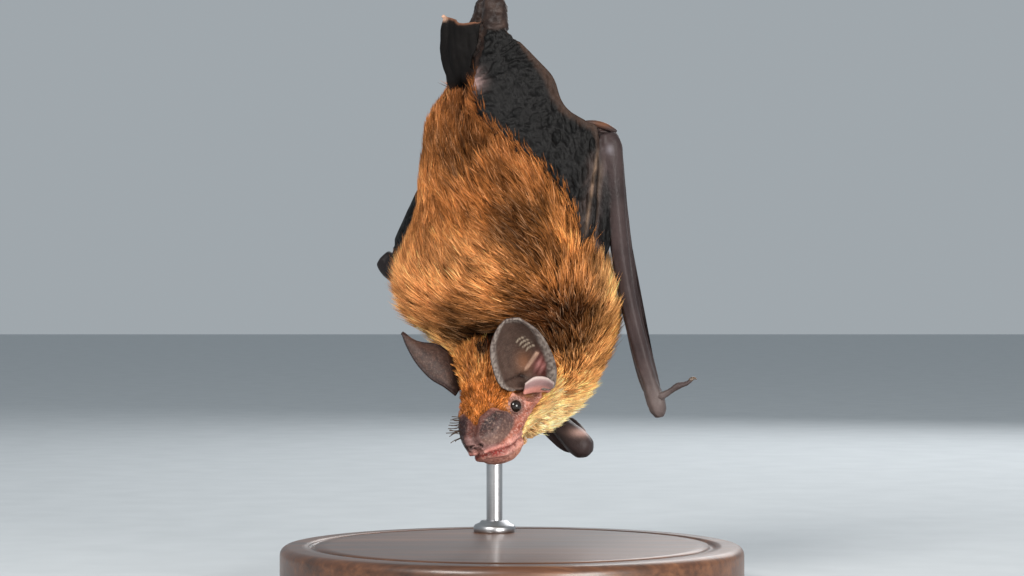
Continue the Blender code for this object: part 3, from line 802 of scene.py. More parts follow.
    def pad(self, local: Array) -> Array:
        """Give 1 on the muzzle pads, falling to 0 round them."""
        a, b = (self.flat(local) - self.pad_at).T
        cos, sin = self.pad_lean
        wide, high = self.pad_reach
        far = np.sqrt(((cos * a + sin * b) / wide) ** 2 + ((sin * a - cos * b) / high) ** 2)
        beside = ease(0.8, 1.6, np.abs(local[:, 1])) * ease(-3.6, -2.8, local[:, 2])
        return ease(1.1, 0.86, far) * beside * ease(4.5, 5.5, local[:, 0])

    def bare(self, local: Array) -> Array:
        """Give 1 where the skin has no coat, falling to 0 in the coat."""
        mouth, _ = self.mouth_line(local)
        under = ease(1.9, 1.2, np.abs(mouth)) * ease(6.2, 7.6, local[:, 0])
        return np.max(
            [
                ease(10.0, 11.0, local[:, 0]),
                self.pad(local),
                ease(2.5, 1.8, self.strip_distance(local)),
                ease(2.2, 1.6, self.eye_distance(local)),
                under,
                self.muzzle(local),
                self.ear_front(local),
            ],
            axis=0,
        )

    @staticmethod
    def ear_floor(local: Array) -> Array:
        """Give 1 on the skin that an ear closes over."""
        gap = (mirrored(local) - (0.4, 8.0, 3.6)) / (4.4, 3.4, 6.4)
        return ease(1.06, 0.86, np.linalg.norm(gap, axis=1))

    @staticmethod
    def ear_front(local: Array) -> Array:
        """Give 1 on the bare skin between an eye and the ear behind it."""
        gap = (mirrored(local) - (3.4, 7.4, 0.4)) / (3.2, 3.0, 2.8)
        return ease(1.1, 0.8, np.linalg.norm(gap, axis=1))

    def ear_clear(self, local: Array) -> Array:
        """Give 0 on the bare skin in front of an ear, and 1 away from it."""
        return 1 - self.ear_front(local) * ease(2.2, 3.8, local[:, 0])

    @staticmethod
    def muzzle(local: Array) -> Array:
        """Give 1 on the bare muzzle, beside the wedge of hair that runs down its bridge."""
        wedge = np.clip(3.4 - 1.05 * (local[:, 0] - 7.4), 0.2, 9.0)
        return ease(-0.3, 0.6, np.abs(local[:, 1]) - wedge) * ease(7.0, 8.2, local[:, 0])

    def mouth_line(self, local: Array) -> tuple[Array, Array]:
        """Measure the height over the line of the mouth, and the share along it from its corner."""
        corner, front = np.array(self.mouth_corner), np.array(self.mouth_front)
        way = front - corner
        length = np.linalg.norm(way)
        way /= length
        gap = local[:, [0, 2]] - corner
        share = gap @ way / length
        bow = 0.5 * np.sin(np.clip(share, 0, 1) * math.pi)
        return gap @ np.array([-way[1], way[0]]) + bow, share

    def shaped(self, local: Array) -> Array:
        """Give the face its pads, eyes, nostrils, mouth and folds.

        Args:
            local: places on the plain head, in its own axes.

        Returns:
            The same places on the finished head.
        """
        ahead = np.maximum(local[:, 0] - 10.8, 0) * 0.55
        out = np.stack([ahead, local[:, 1], local[:, 2] + 1.0], 1)
        out /= np.linalg.norm(out, axis=1)[:, None] + 1e-9
        bare = self.bare(local)
        lift = -self.coat_depth * (1 - bare) * ease(13.5, 6.0, local[:, 0])
        lift -= 2.3 * self.ear_floor(local) * self.ear_clear(local)
        sideways = np.abs(local[:, 1])
        for s in self.swellings:
            aside = sideways if s.left else local[:, 1]
            gap = np.stack([local[:, 0] - s.nose, aside - s.left, local[:, 2] - s.crown], 1)
            lift += s.height * np.exp(-((gap / s.reach) ** 2).sum(1))
        ridge = ease(1.5, 0.3, sideways) * (local[:, 2] > 0)
        lift -= 1.0 * ridge * ease(8.0, 10.6, local[:, 0])
        mouth, share = self.mouth_line(local)
        along = ease(-0.02, 0.08, share)
        lift += along * (0.28 * bell(np.abs(mouth) - 0.75, 0.42) - 0.75 * bell(mouth, 0.26))
        eye = self.eye_distance(local)
        lift += 0.4 * bell(eye - 1.3, 0.2) + 0.2 * bell(eye - 2.1, 0.28)
        lift -= 1.5 * ease(self.eye_opening + 0.1, self.eye_opening - 0.25, eye)
        hole = np.sqrt(
            (local[:, 0] - self.nostril[0]) ** 2
            + (sideways - self.nostril[1]) ** 2
            + (local[:, 2] - self.nostril[2]) ** 2
        )
        lift += 0.2 * bell(hole - 0.7, 0.25) - 1.0 * bell(hole, 0.32)
        moved = local + out * lift[:, None]
        folds = np.array([rough(Vector(p), 0.75) + 0.6 * rough(Vector(p), 1.7, 3) for p in moved])
        calm = ease(1.0, 1.5, eye)
        grain = 0.11 + 0.1 * ease(2.2, 1.0, self.strip_distance(local)) - 0.06 * self.pad(local)
        return moved + out * (folds * grain * bare * calm)[:, None]

    def form(self) -> Form:
        """Skin the head, with finer faces round the eyes, nostrils and mouth."""
        bm = wrapped(lambda turn, along: self.ring(along).point(2 * math.pi * turn), 104, 90)
        for cuts, reach in ((1, 4.6), (1, 1.9)):
            spots = [self.place(5.4, 6.2 * side, 0.3) for side in (1, -1)]
            spots += [self.place(13.3, 1.4 * side, 0.2) for side in (1, -1)]
            fine = [v for v in bm.verts if min((v.co - spot).length for spot in spots) < reach]
            inside = set(fine)
            edges = [e for e in bm.edges if e.verts[0] in inside and e.verts[1] in inside]
            bmesh.ops.subdivide_edges(bm, edges=edges, cuts=cuts, use_grid_fill=True)
        places = np.array([v.co for v in bm.verts])
        for vert, place in zip(bm.verts, self.world(self.shaped(self.local(places)))):
            vert.co = place
        bmesh.ops.triangulate(bm, faces=bm.faces)
        return bm

    def unwrap(self, points: Array) -> Array:
        """Lay points out by their turn round the head and their distance to the nose."""
        local = self.local(points)
        turn = np.arctan2(local[:, 2] + 1.0, local[:, 1]) / (2 * math.pi) + 0.5
        return np.stack([turn, (local[:, 0] + 12.0) / 30.0], 1)


@dataclass(frozen=True)
class Ear:
    """A cupped ear with its rolled rim, ribs and bulb; side is 1 for the left ear."""

    head: Head
    side: int
    inner: Rows = (
        (3.5, 5.9, 2.4), (4.6, 5.2, 4.9), (3.4, 5.1, 8.4), (2.0, 6.2, 12.0), (0.2, 8.6, 14.6),
        (-1.2, 10.6, 15.3),
    )
    outer: Rows = (
        (0.6, 10.0, -0.8), (-1.8, 10.3, -3.0), (-2.9, 12.6, 0.6), (-3.0, 13.9, 5.6),
        (-2.8, 14.0, 10.4), (-2.0, 12.6, 14.4),
    )
    back: Vector = Vector((-0.79, -0.61, 0.0))
    depths: tuple[float, ...] = (0.2, 2.6, 3.2, 2.6, 1.3, 0.1)
    thickness: float = 0.5
    plain: bool = False
    flap_base: Rows = ((3.2, 7.4, 0.8), (1.6, 8.4, -0.4), (0.0, 8.8, -2.0), (-1.4, 8.8, -3.6))
    flap_edge: Rows = ((2.0, 8.3, 2.3), (0.6, 9.9, 2.2), (-0.6, 11.1, 0.6), (-1.5, 11.2, -1.8))

    @staticmethod
    def ribs(flat: Array) -> Array:
        """Give the ribs' crests as 1 and all else as 0, by the place on the flat view."""
        a, b = (flat - (4.1, 10.15)).T
        over = 0.54 * a - 0.84 * b
        along = 0.84 * a + 0.54 * b - 0.3 * over
        inside = ease(-0.5, -0.15, over) * ease(3.0, 2.6, over) * ease(1.2, 0.7, np.abs(along))
        return inside * ease(-0.1, 0.9, np.cos(2 * math.pi * (over - 0.22 * along**2) / 0.76))

    @staticmethod
    def spine(flat: Array) -> Array:
        """Give 1 on the pale fold across the ear, by the place on the flat view."""
        start, way = np.array([7.3, 7.45]), np.array([-2.05, -3.05])
        share = np.clip((flat - start) @ way / (way @ way), 0, 1)
        gap = np.linalg.norm(flat - start - share[:, None] * way, axis=1)
        return np.exp(-((gap / (0.3 - 0.12 * share)) ** 2))

    @staticmethod
    def lobe(flat: Array) -> Array:
        """Give 1 on the crease over the ear's lower lobe, by the place on the flat view."""
        start, way = np.array([1.2, 2.2]), np.array([2.9, 1.0])
        share = np.clip((flat - start) @ way / (way @ way), 0, 1)
        return np.exp(-((np.linalg.norm(flat - start - share[:, None] * way, axis=1) / 0.24) ** 2))

    @staticmethod
    def spot(flat: Array, right: float, up: float, wide: float, high: float) -> Array:
        """Give 1 at a place on the flat view, falling away over its width and height."""
        return np.exp(-(((flat[:, 0] - right) / wide) ** 2) - ((flat[:, 1] - up) / high) ** 2)

    def relief(self, flat: Array, across: Array, along: Array) -> Array:
        """Give how far the ear's inner face stands out at places on it."""
        rim = np.maximum(ease(0.1, 0.0, across), ease(0.84, 1.0, across))
        rim = 0.15 * np.maximum(rim, ease(0.92, 1.0, along))
        if self.plain:
            return rim
        swell = 0.5 * self.spot(flat, 7.8, 5.2, 1.2, 1.5)
        folds = 0.26 * self.ribs(flat) + 0.45 * self.spine(flat) + swell
        waves = np.cos(5.2 * flat[:, 0] - 2.6 * flat[:, 1])
        crumple = 0.24 * self.spot(flat, 8.2, 5.4, 1.6, 2.2) * waves
        hollow = 0.5 * self.spot(flat, 4.4, 3.2, 0.7, 0.5)
        return rim + folds + crumple - hollow - 0.3 * self.lobe(flat)

    def form(self) -> Form:
        """Skin the ear as one cupped sheet of even thickness with a rounded edge."""
        bm = bmesh.new()
        bmesh.ops.create_grid(bm, x_segments=50, y_segments=56, size=0.5)
        across_of = bm.verts.layers.float.new("across")
        along_of = bm.verts.layers.float.new("along")
        last = len(self.inner) - 1
        for vert in bm.verts:
            across, along = vert.co.x + 0.5, vert.co.y + 0.5
            inner = Vector(curve_at(self.inner, along * last))
            outer = Vector(curve_at(self.outer, along * last))
            depth = curve_at([(d,) for d in self.depths], along * last)[0]
            cup = depth * math.sin(math.pi * min(max((across - 0.08) / 0.82, 0.0), 1.0)) ** 0.75
            vert.co = inner.lerp(outer, across) + self.back * cup
            vert[across_of] = across
            vert[along_of] = along
        flat = self.head.flat(np.array([v.co for v in bm.verts]))
        shares = np.array([(v[across_of], v[along_of]) for v in bm.verts])
        for vert, height in zip(bm.verts, self.relief(flat, shares[:, 0], shares[:, 1])):
            place = vert.co - self.back * float(height)
            vert.co = self.head.place(place.x, place.y * self.side, place.z)
        return thickened(bm, self.thickness)

    def tragus(self) -> Form:
        """Skin the low curved flap that stands in front of the ear's opening."""
        bm = bmesh.new()
        bmesh.ops.create_grid(bm, x_segments=30, y_segments=12, size=0.5)
        across_of = bm.verts.layers.float.new("across")
        along_of = bm.verts.layers.float.new("along")
        last = len(self.flap_base) - 1
        for vert in bm.verts:
            along, rise = vert.co.x + 0.5, vert.co.y + 0.5
            base = Vector(curve_at(self.flap_base, along * last))
            edge = Vector(curve_at(self.flap_edge, along * last))
            bulge = 0.5 * math.sin(math.pi * rise) * math.sin(math.pi * along)
            place = base.lerp(edge, rise) - self.back * bulge
            vert.co = self.head.place(place.x, place.y * self.side, place.z)
            vert[across_of] = -1.0
            vert[along_of] = 1.0 + rise
        return thickened(bm, 0.7)


def creased(edge: bmesh.types.BMEdge) -> bool:
    """Tell whether the faces at an edge turn away from each other."""
    first = edge.link_faces[0].normal
    return len({round(face.normal.dot(first), 1) for face in edge.link_faces}) > 1


def thickened(bm: Form, thickness: float) -> Form:
    """Give an open sheet a thickness about its middle, and round its edge."""
    bmesh.ops.recalc_face_normals(bm, faces=bm.faces)
    bm.normal_update()
    way = bm.verts.layers.float_vector.new("way")
    for vert in bm.verts:
        vert[way] = vert.normal
    made = bmesh.ops.extrude_face_region(bm, geom=bm.faces[:], use_keep_orig=True)["geom"]
    fresh = {part for part in made if isinstance(part, bmesh.types.BMVert)}
    for vert in bm.verts:
        vert.co += vert[way] * (thickness / 2 if vert in fresh else -thickness / 2)
    bm.verts.layers.float_vector.remove(way)
    bm.normal_update()
    rim = {v for e in bm.edges if creased(e) for v in e.verts}
    relaxed(bm, rim, 0.4)
    bmesh.ops.recalc_face_normals(bm, faces=bm.faces)
    return bm


# ------------------------------------------------------------------ arms and legs


def between(a: Vector, b: Vector, shares: Iterable[float]) -> list[Vector]:
    """Give the points at shares of the way from a to b."""
    return [a.lerp(b, share) for share in shares]


class Side(Enum):
    """A side of the bat's own body."""

    LEFT = 1
    RIGHT = -1


@dataclass(frozen=True)
class Arm:
    """One bare arm: upper arm, forearm, the fingers folded along it, and the thumb."""

    shoulder: Vector
    elbow: Vector
    wrist: Vector
    fingers: Sequence[tuple[float, Place]]
    thumb: Rows
    knob: float = 2.35
    bow: tuple[float, ...] = (0.0, 0.0, 0.0, 0.0, 0.0)
    cap: Rows = ()
    upper_radii: tuple[float, ...] = (3.4, 3.1, 2.5, 2.1)
    lower_radii: tuple[float, ...] = (1.6, 2.4, 2.3, 1.9, 1.6, 1.7)
    lower_shares: tuple[float, ...] = (-0.045, 0.0, 0.1, 0.3, 0.55, 0.8, 0.9, 0.97, 1.015, 1.04)
    hand_radii: tuple[float, ...] = (1.3, 1.9, 1.7, 1.6, 1.5, 1.6, 1.4, 0.9)
    thumb_radii: tuple[float, ...] = (0.9, 0.62, 0.56, 0.46, 0.26)
    pleats: int = 7

    @staticmethod
    def muscle(turn: float, share: float) -> float:
        """Give the low ridges of muscle and tendon along a limb."""
        around = 2 * math.pi * turn
        cord = 0.13 * math.cos(2 * around + 3.8 * share) + 0.08 * math.cos(5 * around - 6.3 * share)
        spot = Vector((3 * math.cos(around), 3 * math.sin(around), 20 * share))
        return cord + 0.1 * noise.noise(spot)

    def bent(self, share: float) -> Vector:
        """Give how far aside the bowed forearm lies at a share of its length."""
        return Vector((float(np.interp(share, (0.0, 0.3, 0.6, 0.85, 1.0), self.bow)), 0, 0))

    def folded(self, turn: float, share: float) -> float:
        """Give the ridges of the folded fingers and the skin between them."""
        ridge = abs(math.cos(math.pi * self.pleats * turn + 1.2 * share))
        return 0.34 * ridge - 0.16 + 0.06 * noise.noise(Vector((20 * turn, 30 * share, 0)))

    def forms(self) -> list[tuple[Region, Form]]:
        """Skin the arm's lengths, each with the region it belongs to."""
        bone = between(self.shoulder, self.elbow, (0, 0.35, 0.7, 1.0))
        upper = Limb(bone, self.upper_radii, relief=self.muscle)
        straight = between(self.elbow, self.wrist, self.lower_shares)
        places = [p + self.bent(share) for share, p in zip(self.lower_shares, straight)]
        ends = (self.knob * 0.84, self.knob, self.knob * 0.86, 0.9)
        lower = Limb(places, self.lower_radii + ends, relief=self.muscle, sides=28, rows=76)
        points = [
            self.elbow.lerp(self.wrist, share) + Vector(beside) * 0.8 + self.bent(share)
            for share, beside in self.fingers
        ]
        hand = Limb(points, self.hand_radii, 0.95, relief=self.folded, sides=36, rows=66)
        thumb = Limb(self.thumb, self.thumb_radii, sides=12, rows=22, relief=self.knuckled)
        forms = [upper.form(0.1), lower.form(0.08), hand.form(0.1), thumb.form(0.04)]
        if self.cap:
            forms.append(Limb(self.cap, (0.45, 0.66, 0.66, 0.4), sides=14, rows=24).form())
        return [(Region.ARM, form) for form in forms]

    @staticmethod
    def knuckled(turn: float, share: float) -> float:
        """Give the joints and wrinkles of the thumb."""
        return 0.12 * math.exp(-(((share - 0.5) / 0.1) ** 2)) + 0.02 * math.cos(60 * share)


@dataclass(frozen=True)
class Perch:
    """The branch that the feet hold, and how the toes lie round it."""

    at: Vector = Vector((0.6, 0.0, 119.2))
    radius: float = 3.2
    turn: float = math.radians(8.0)
    front: float = 15.0
    back: float = 35.0
    girths: tuple[float, ...] = (1.0, 0.97, 1.0, 1.02, 1.08, 1.0)

    @property
    def way(self) -> Vector:
        """The direction along the branch, to its back end."""
        return Vector((-math.sin(self.turn), math.cos(self.turn), 0))

    @property
    def side(self) -> Vector:
        """The level direction across the branch."""
        return Vector((math.cos(self.turn), math.sin(self.turn), 0))

    def beside(self, angle: float, along: float, away: float) -> Vector:
        """Find a point round the branch.

        Args:
            angle: round it, from its side direction upwards.
            along: the place along it.
            away: the distance from its surface.

        Returns:
            The point in the model.
        """
        spoke = self.side * math.cos(angle) + Vector((0, 0, 1)) * math.sin(angle)
        return self.at + self.way * along + spoke * (self.radius + away)


@dataclass(frozen=True)
class Leg:
    """One leg: its thigh, shank, foot and five toes over the branch."""

    hip: Vector
    knee: Vector
    ankle: Vector
    along: float
    perch: Perch
    thigh_radii: tuple[float, ...] = (3.0, 2.9, 2.3, 1.7)
    shank_radii: tuple[float, ...] = (2.0, 2.05, 1.95, 1.8, 1.6)
    bow: tuple[float, ...] = (0.0, 0.0, 0.0, 0.0, 0.0)
    toes: int = 5
    toe_radius: float = 0.55
    toe_spacing: float = 1.28
    toe_start: float = math.radians(205)
    toe_end: float = math.radians(-12)
    claw_end: float = math.radians(-62)
    clearance: float = 0.25

    def toe_place(self, number: int, share: float) -> Vector:
        """Find the middle of a toe at a share of its way over the branch."""
        spread = (number - (self.toes - 1) / 2) * self.toe_spacing
        angle = self.toe_start + (self.toe_end - self.toe_start) * share
        along = self.along + spread * (0.8 + 0.2 * share)
        return self.perch.beside(angle, along, self.clearance + self.toe_radius)

    def toe(self, number: int) -> Limb:
        """Give the path of a toe, thicker at its joints."""
        points = [self.toe_place(number, share) for share in np.linspace(0, 1, 7)]
        radii = [self.toe_radius * r for r in (1.0, 0.94, 1.0, 0.9, 1.0, 0.92, 0.86)]
        return Limb(points, radii, 1.0, tuple(self.perch.way), 10, 22)

    def claw(self, number: int) -> Form:
        """Shape the claw at the end of a toe."""
        spread = (number - (self.toes - 1) / 2) * self.toe_spacing
        shares = np.linspace(0, 1, 6)
        points = []
        for share in shares:
            angle = self.toe_end + 0.08 + (self.claw_end - self.toe_end) * share
            points.append(self.perch.beside(angle, self.along + spread, 0.52 - 0.42 * share**1.6))
        radii = [0.4 - 0.32 * share for share in shares]
        return Limb(points, radii, 1.0, tuple(self.perch.way), 9, 18).form()

    def foot(self) -> Form:
        """Skin the flat body of the foot, from the ankle to the roots of the toes."""
        away = self.clearance + self.toe_radius
        root = self.perch.beside(self.toe_start - 0.16, self.along, away)
        low = self.perch.beside(self.toe_start + 0.5, self.along, away + 0.3)
        sections = [(0.0, 1.1, 1.2), (0.06, 1.25, 1.3), (0.3, 1.6, 1.35), (0.6, 2.4, 1.1),
            (0.95, 2.9, 0.85), (1.05, 2.2, 0.5)]

        def surface(turn: float, along: float) -> Vector:
            """Give the foot's surface for a turn and a length."""
            share, wide, thick = curve_at(sections, along * (len(sections) - 1))
            middle = self.ankle.lerp(low, share).lerp(root, share * share)
            ring = Ring(middle, self.perch.way, self.perch.side, wide, thick, thick)
            web = 0.12 * math.cos(2 * math.pi * 5 * turn) * share
            return ring.point(2 * math.pi * turn, web)

        return wrapped(surface, 30, 26)

    def forms(self) -> list[tuple[Region, Form]]:
        """Skin the leg's lengths, each with the region it belongs to."""
        thigh = Limb(between(self.hip, self.knee, (0, 0.35, 0.7, 1.0)), self.thigh_radii)
        straight = between(self.knee, self.ankle, (0.0, 0.25, 0.5, 0.75, 1.0))
        places = [place + Vector((aside, 0, 0)) for place, aside in zip(straight, self.bow)]
        shank = Limb(places, self.shank_radii, relief=self.bumpy)
        made = [(Region.THIGH, thigh.form(0.7)), (Region.LEG, shank.form(0.05)),
            (Region.LEG, self.foot())]
        made += [(Region.LEG, self.toe(number).form()) for number in range(self.toes)]
        return made

    @staticmethod
    def bumpy(turn: float, share: float) -> float:
        """Give the folds of the bare shin."""
        spot = Vector((math.cos(2 * math.pi * turn) * 2, math.sin(2 * math.pi * turn) * 2,
            14 * share))
        return 0.3 * noise.noise(spot) + 0.2 * noise.noise(spot * 2.3)


# ------------------------------------------------------------------ membranes


class Wrinkle(Enum):
    """The way a sheet of wing is creased."""

    PEBBLED = "pebbled"
    PLEATED = "pleated"


@dataclass(frozen=True)
class Sheet:
    """A membrane between two smooth edges, laid over the body and grown into it."""

    inner: Rows
    outer: Rows
    rows: int
    columns: int
    region: Region
    wrinkle: Wrinkle
    depth: float = 0.46
    thickness: float = 0.42
    clearance: float = 0.55
    grip: float = 3.4
    pleats: int = 4
    sunk_from: float = 1.1
    sunk_to: float = -0.1

    def belly(self, across: float, along: float) -> Vector:
        """Give how far a tail's membrane hangs out between the legs."""
        if self.region is not Region.TAIL:
            return Vector()
        arch = math.sin(math.pi * min(max(along, 0.0), 1.0))
        wave = 0.6 * across * math.cos(2 * math.pi * self.pleats * along)
        out = 1.2 * math.sin(math.pi * across) + wave
        return Vector((-1, -0.2, 0)) * arch * out

    def crease(self, place: Vector, across: float, along: float) -> float:
        """Give the height of the sheet's creases at a place.

        Args:
            place: on the sheet, in the model.
            across: the share of the way from the inner edge to the outer.
            along: the share of the way along the edges.

        Returns:
            The height in millimetres.
        """
        if self.wrinkle is Wrinkle.PLEATED:
            lines = noise.noise(Vector((place.x * 0.9, place.y * 0.9, place.z * 0.16)))
            return self.depth * (lines + 0.3 * rough(place, 0.7))
        waves = 0.0
        low = smooth(9.0, 3.0, place.x)
        for angle, share in ((32.0, low), (84.0, 1.0 - low)):
            turn = math.radians(angle)
            long_way = place.x * math.cos(turn) + place.z * math.sin(turn)
            short_way = -place.x * math.sin(turn) + place.z * math.cos(turn)
            ridge = noise.noise(Vector((long_way / 2.9, short_way / 0.95, place.y / 2.4 + angle)))
            waves += share * (0.9 - 2.9 * min(abs(ridge), 0.5)) / math.hypot(low, 1.0 - low)
        small = noise.noise(place / 0.55)
        calm = smooth(1.0, 0.84, across) * smooth(0.0, 0.06, along) + 0.1
        return self.depth * calm * (waves + 0.4 * small)

    def form(self, body: BVHTree) -> Form:
        """Skin the membrane.

        Args:
            body: the flesh that it lies over and grows out of.

        Returns:
            The closed thin form.
        """
        bm = bmesh.new()
        bmesh.ops.create_grid(bm, x_segments=self.columns, y_segments=self.rows, size=0.5)
        across_of = bm.verts.layers.float.new("across")
        along_of = bm.verts.layers.float.new("along")
        for vert in bm.verts:
            across, along = vert.co.x + 0.5, vert.co.y + 0.5
            a = Vector(curve_at(self.inner, along * (len(self.inner) - 1)))
            b = Vector(curve_at(self.outer, along * (len(self.outer) - 1)))
            place = a.lerp(b, across) + self.belly(across, along)
            for _ in range(3):
                nearest, normal, _, distance = body.find_nearest(place)
                if (place - nearest).dot(normal) < 0 or distance < self.clearance:
                    place = nearest + normal * self.clearance
            nearest, normal, _, distance = body.find_nearest(place)
            pull = smooth(0.9, 1.0, across) * smooth(self.grip, self.grip * 0.7, distance)
            sunk = smooth(self.sunk_from, self.sunk_from + 0.07, along)
            sunk = max(sunk, smooth(self.sunk_to, self.sunk_to - 0.05, along))
            pull = max(pull, smooth(0.1, 0.0, across), sunk)
            vert.co = place.lerp(nearest - normal * 0.5, pull)
            vert[across_of] = across
            vert[along_of] = along
        inside = [v for v in bm.verts if not v.is_boundary]
        for _ in range(3):
            relaxed(bm, inside, 0.5)
        bm.normal_update()
        fold_of = bm.verts.layers.float.new("fold")
        folds = [(v, self.crease(v.co, v[across_of], v[along_of])) for v in bm.verts]
        for vert, height in folds:
            vert.co += vert.normal * height
            # The fold height is kept so that the colour can paint the ridges lighter and the
            # valleys darker.
            vert[fold_of] = 1.0 + smooth(-0.8 * self.depth, 0.7 * self.depth, height)
        return thickened(bm, self.thickness)


# ------------------------------------------------------------------ the flesh as one skin


class SkinData:
    """The finished skin's points, faces and regions as arrays, in millimetres."""

    def __init__(self, mesh: bpy.types.Mesh) -> None:
        """Read a triangulated mesh in millimetres."""
        flat = np.empty(len(mesh.vertices) * 3)
        mesh.vertices.foreach_get("co", flat)
        self.points = flat.reshape(-1, 3)
        normals = np.empty(len(mesh.vertices) * 3)
        mesh.vertices.foreach_get("normal", normals)
        self.normals = normals.reshape(-1, 3)
        corners = np.empty(len(mesh.loops), np.int32)
        mesh.loops.foreach_get("vertex_index", corners)
        self.faces = corners.reshape(-1, 3)
        self.face_region = np.empty(len(mesh.polygons), np.int32)
        mesh.polygons.foreach_get("material_index", self.face_region)
        edges = np.empty(len(mesh.edges) * 2, np.int32)
        mesh.edges.foreach_get("vertices", edges)
        self.edges = edges.reshape(-1, 2)
        self.sheet = {name: self._number(mesh, name) for name in ("across", "along", "fold")}

    def _number(self, mesh: bpy.types.Mesh, name: str) -> Array:
        """Read a number attribute, filled in where a join left it empty."""
        values = np.zeros(len(mesh.vertices), np.float32)
        mesh.attributes[name].data.foreach_get("value", values)
        values = values.astype(float)
        empty = np.abs(values) < 1e-7
        for _ in range(3):
            known = (~empty).astype(float)
            total = self.spread(values * known)
            count = self.spread(known)
            fill = empty & (count > 0)
            values[fill] = total[fill] / count[fill]
            empty &= ~fill
        return values

    def spread(self, values: Array) -> Array:
        """Add up the values of each point's neighbours."""
        size = len(self.points)
        a, b = self.edges[:, 0], self.edges[:, 1]
        return np.bincount(a, values[b], size) + np.bincount(b, values[a], size)

    def softened(self, values: Array, times: int) -> Array:
        """Blur values over the surface."""
        count = self.spread(np.ones(len(self.points)))
        for _ in range(times):
            values = 0.5 * values + 0.5 * self.spread(values) / np.maximum(count, 1)
        return values

    def share(self, region: Region, times: int = 4) -> Array:
        """Give each point's share in a region, blurred over its border."""
        inside = (self.face_region == region.value).astype(float)
        size = len(self.points)
        total = np.zeros(size)
        count = np.zeros(size)
        for corner in range(3):
            total += np.bincount(self.faces[:, corner], inside, size)
            count += np.bincount(self.faces[:, corner], minlength=size)
        return self.softened(total / np.maximum(count, 1), times)

    def tree(self, *regions: Region) -> BVHTree:
        """Make a tree of the regions' faces, for finding what lies over a place."""
        chosen = np.isin(self.face_region, [region.value for region in regions])
        return BVHTree.FromPolygons([tuple(p) for p in self.points], self.faces[chosen].tolist())


def blob(points: Array, centre: Sequence[float], reach: Sequence[float]) -> Array:
    """Give 1 at a centre, falling away over its reach along each axis."""
    gap = (points - np.array(centre)) / np.array(reach)
    return np.exp(-(gap**2).sum(1))


def laid(base: Array, colour: Array, amount: Array) -> Array:
    """Lay a colour over others by an amount for each."""
    return base + (colour - base) * np.clip(amount, 0, 1)[:, None]


@dataclass(frozen=True)
class Mark:
    """A patch of the coat with its own colour, or with painted shade: its place, its reach and its
    colour.
    """

    at: Place
    reach: Place
    colour: Place


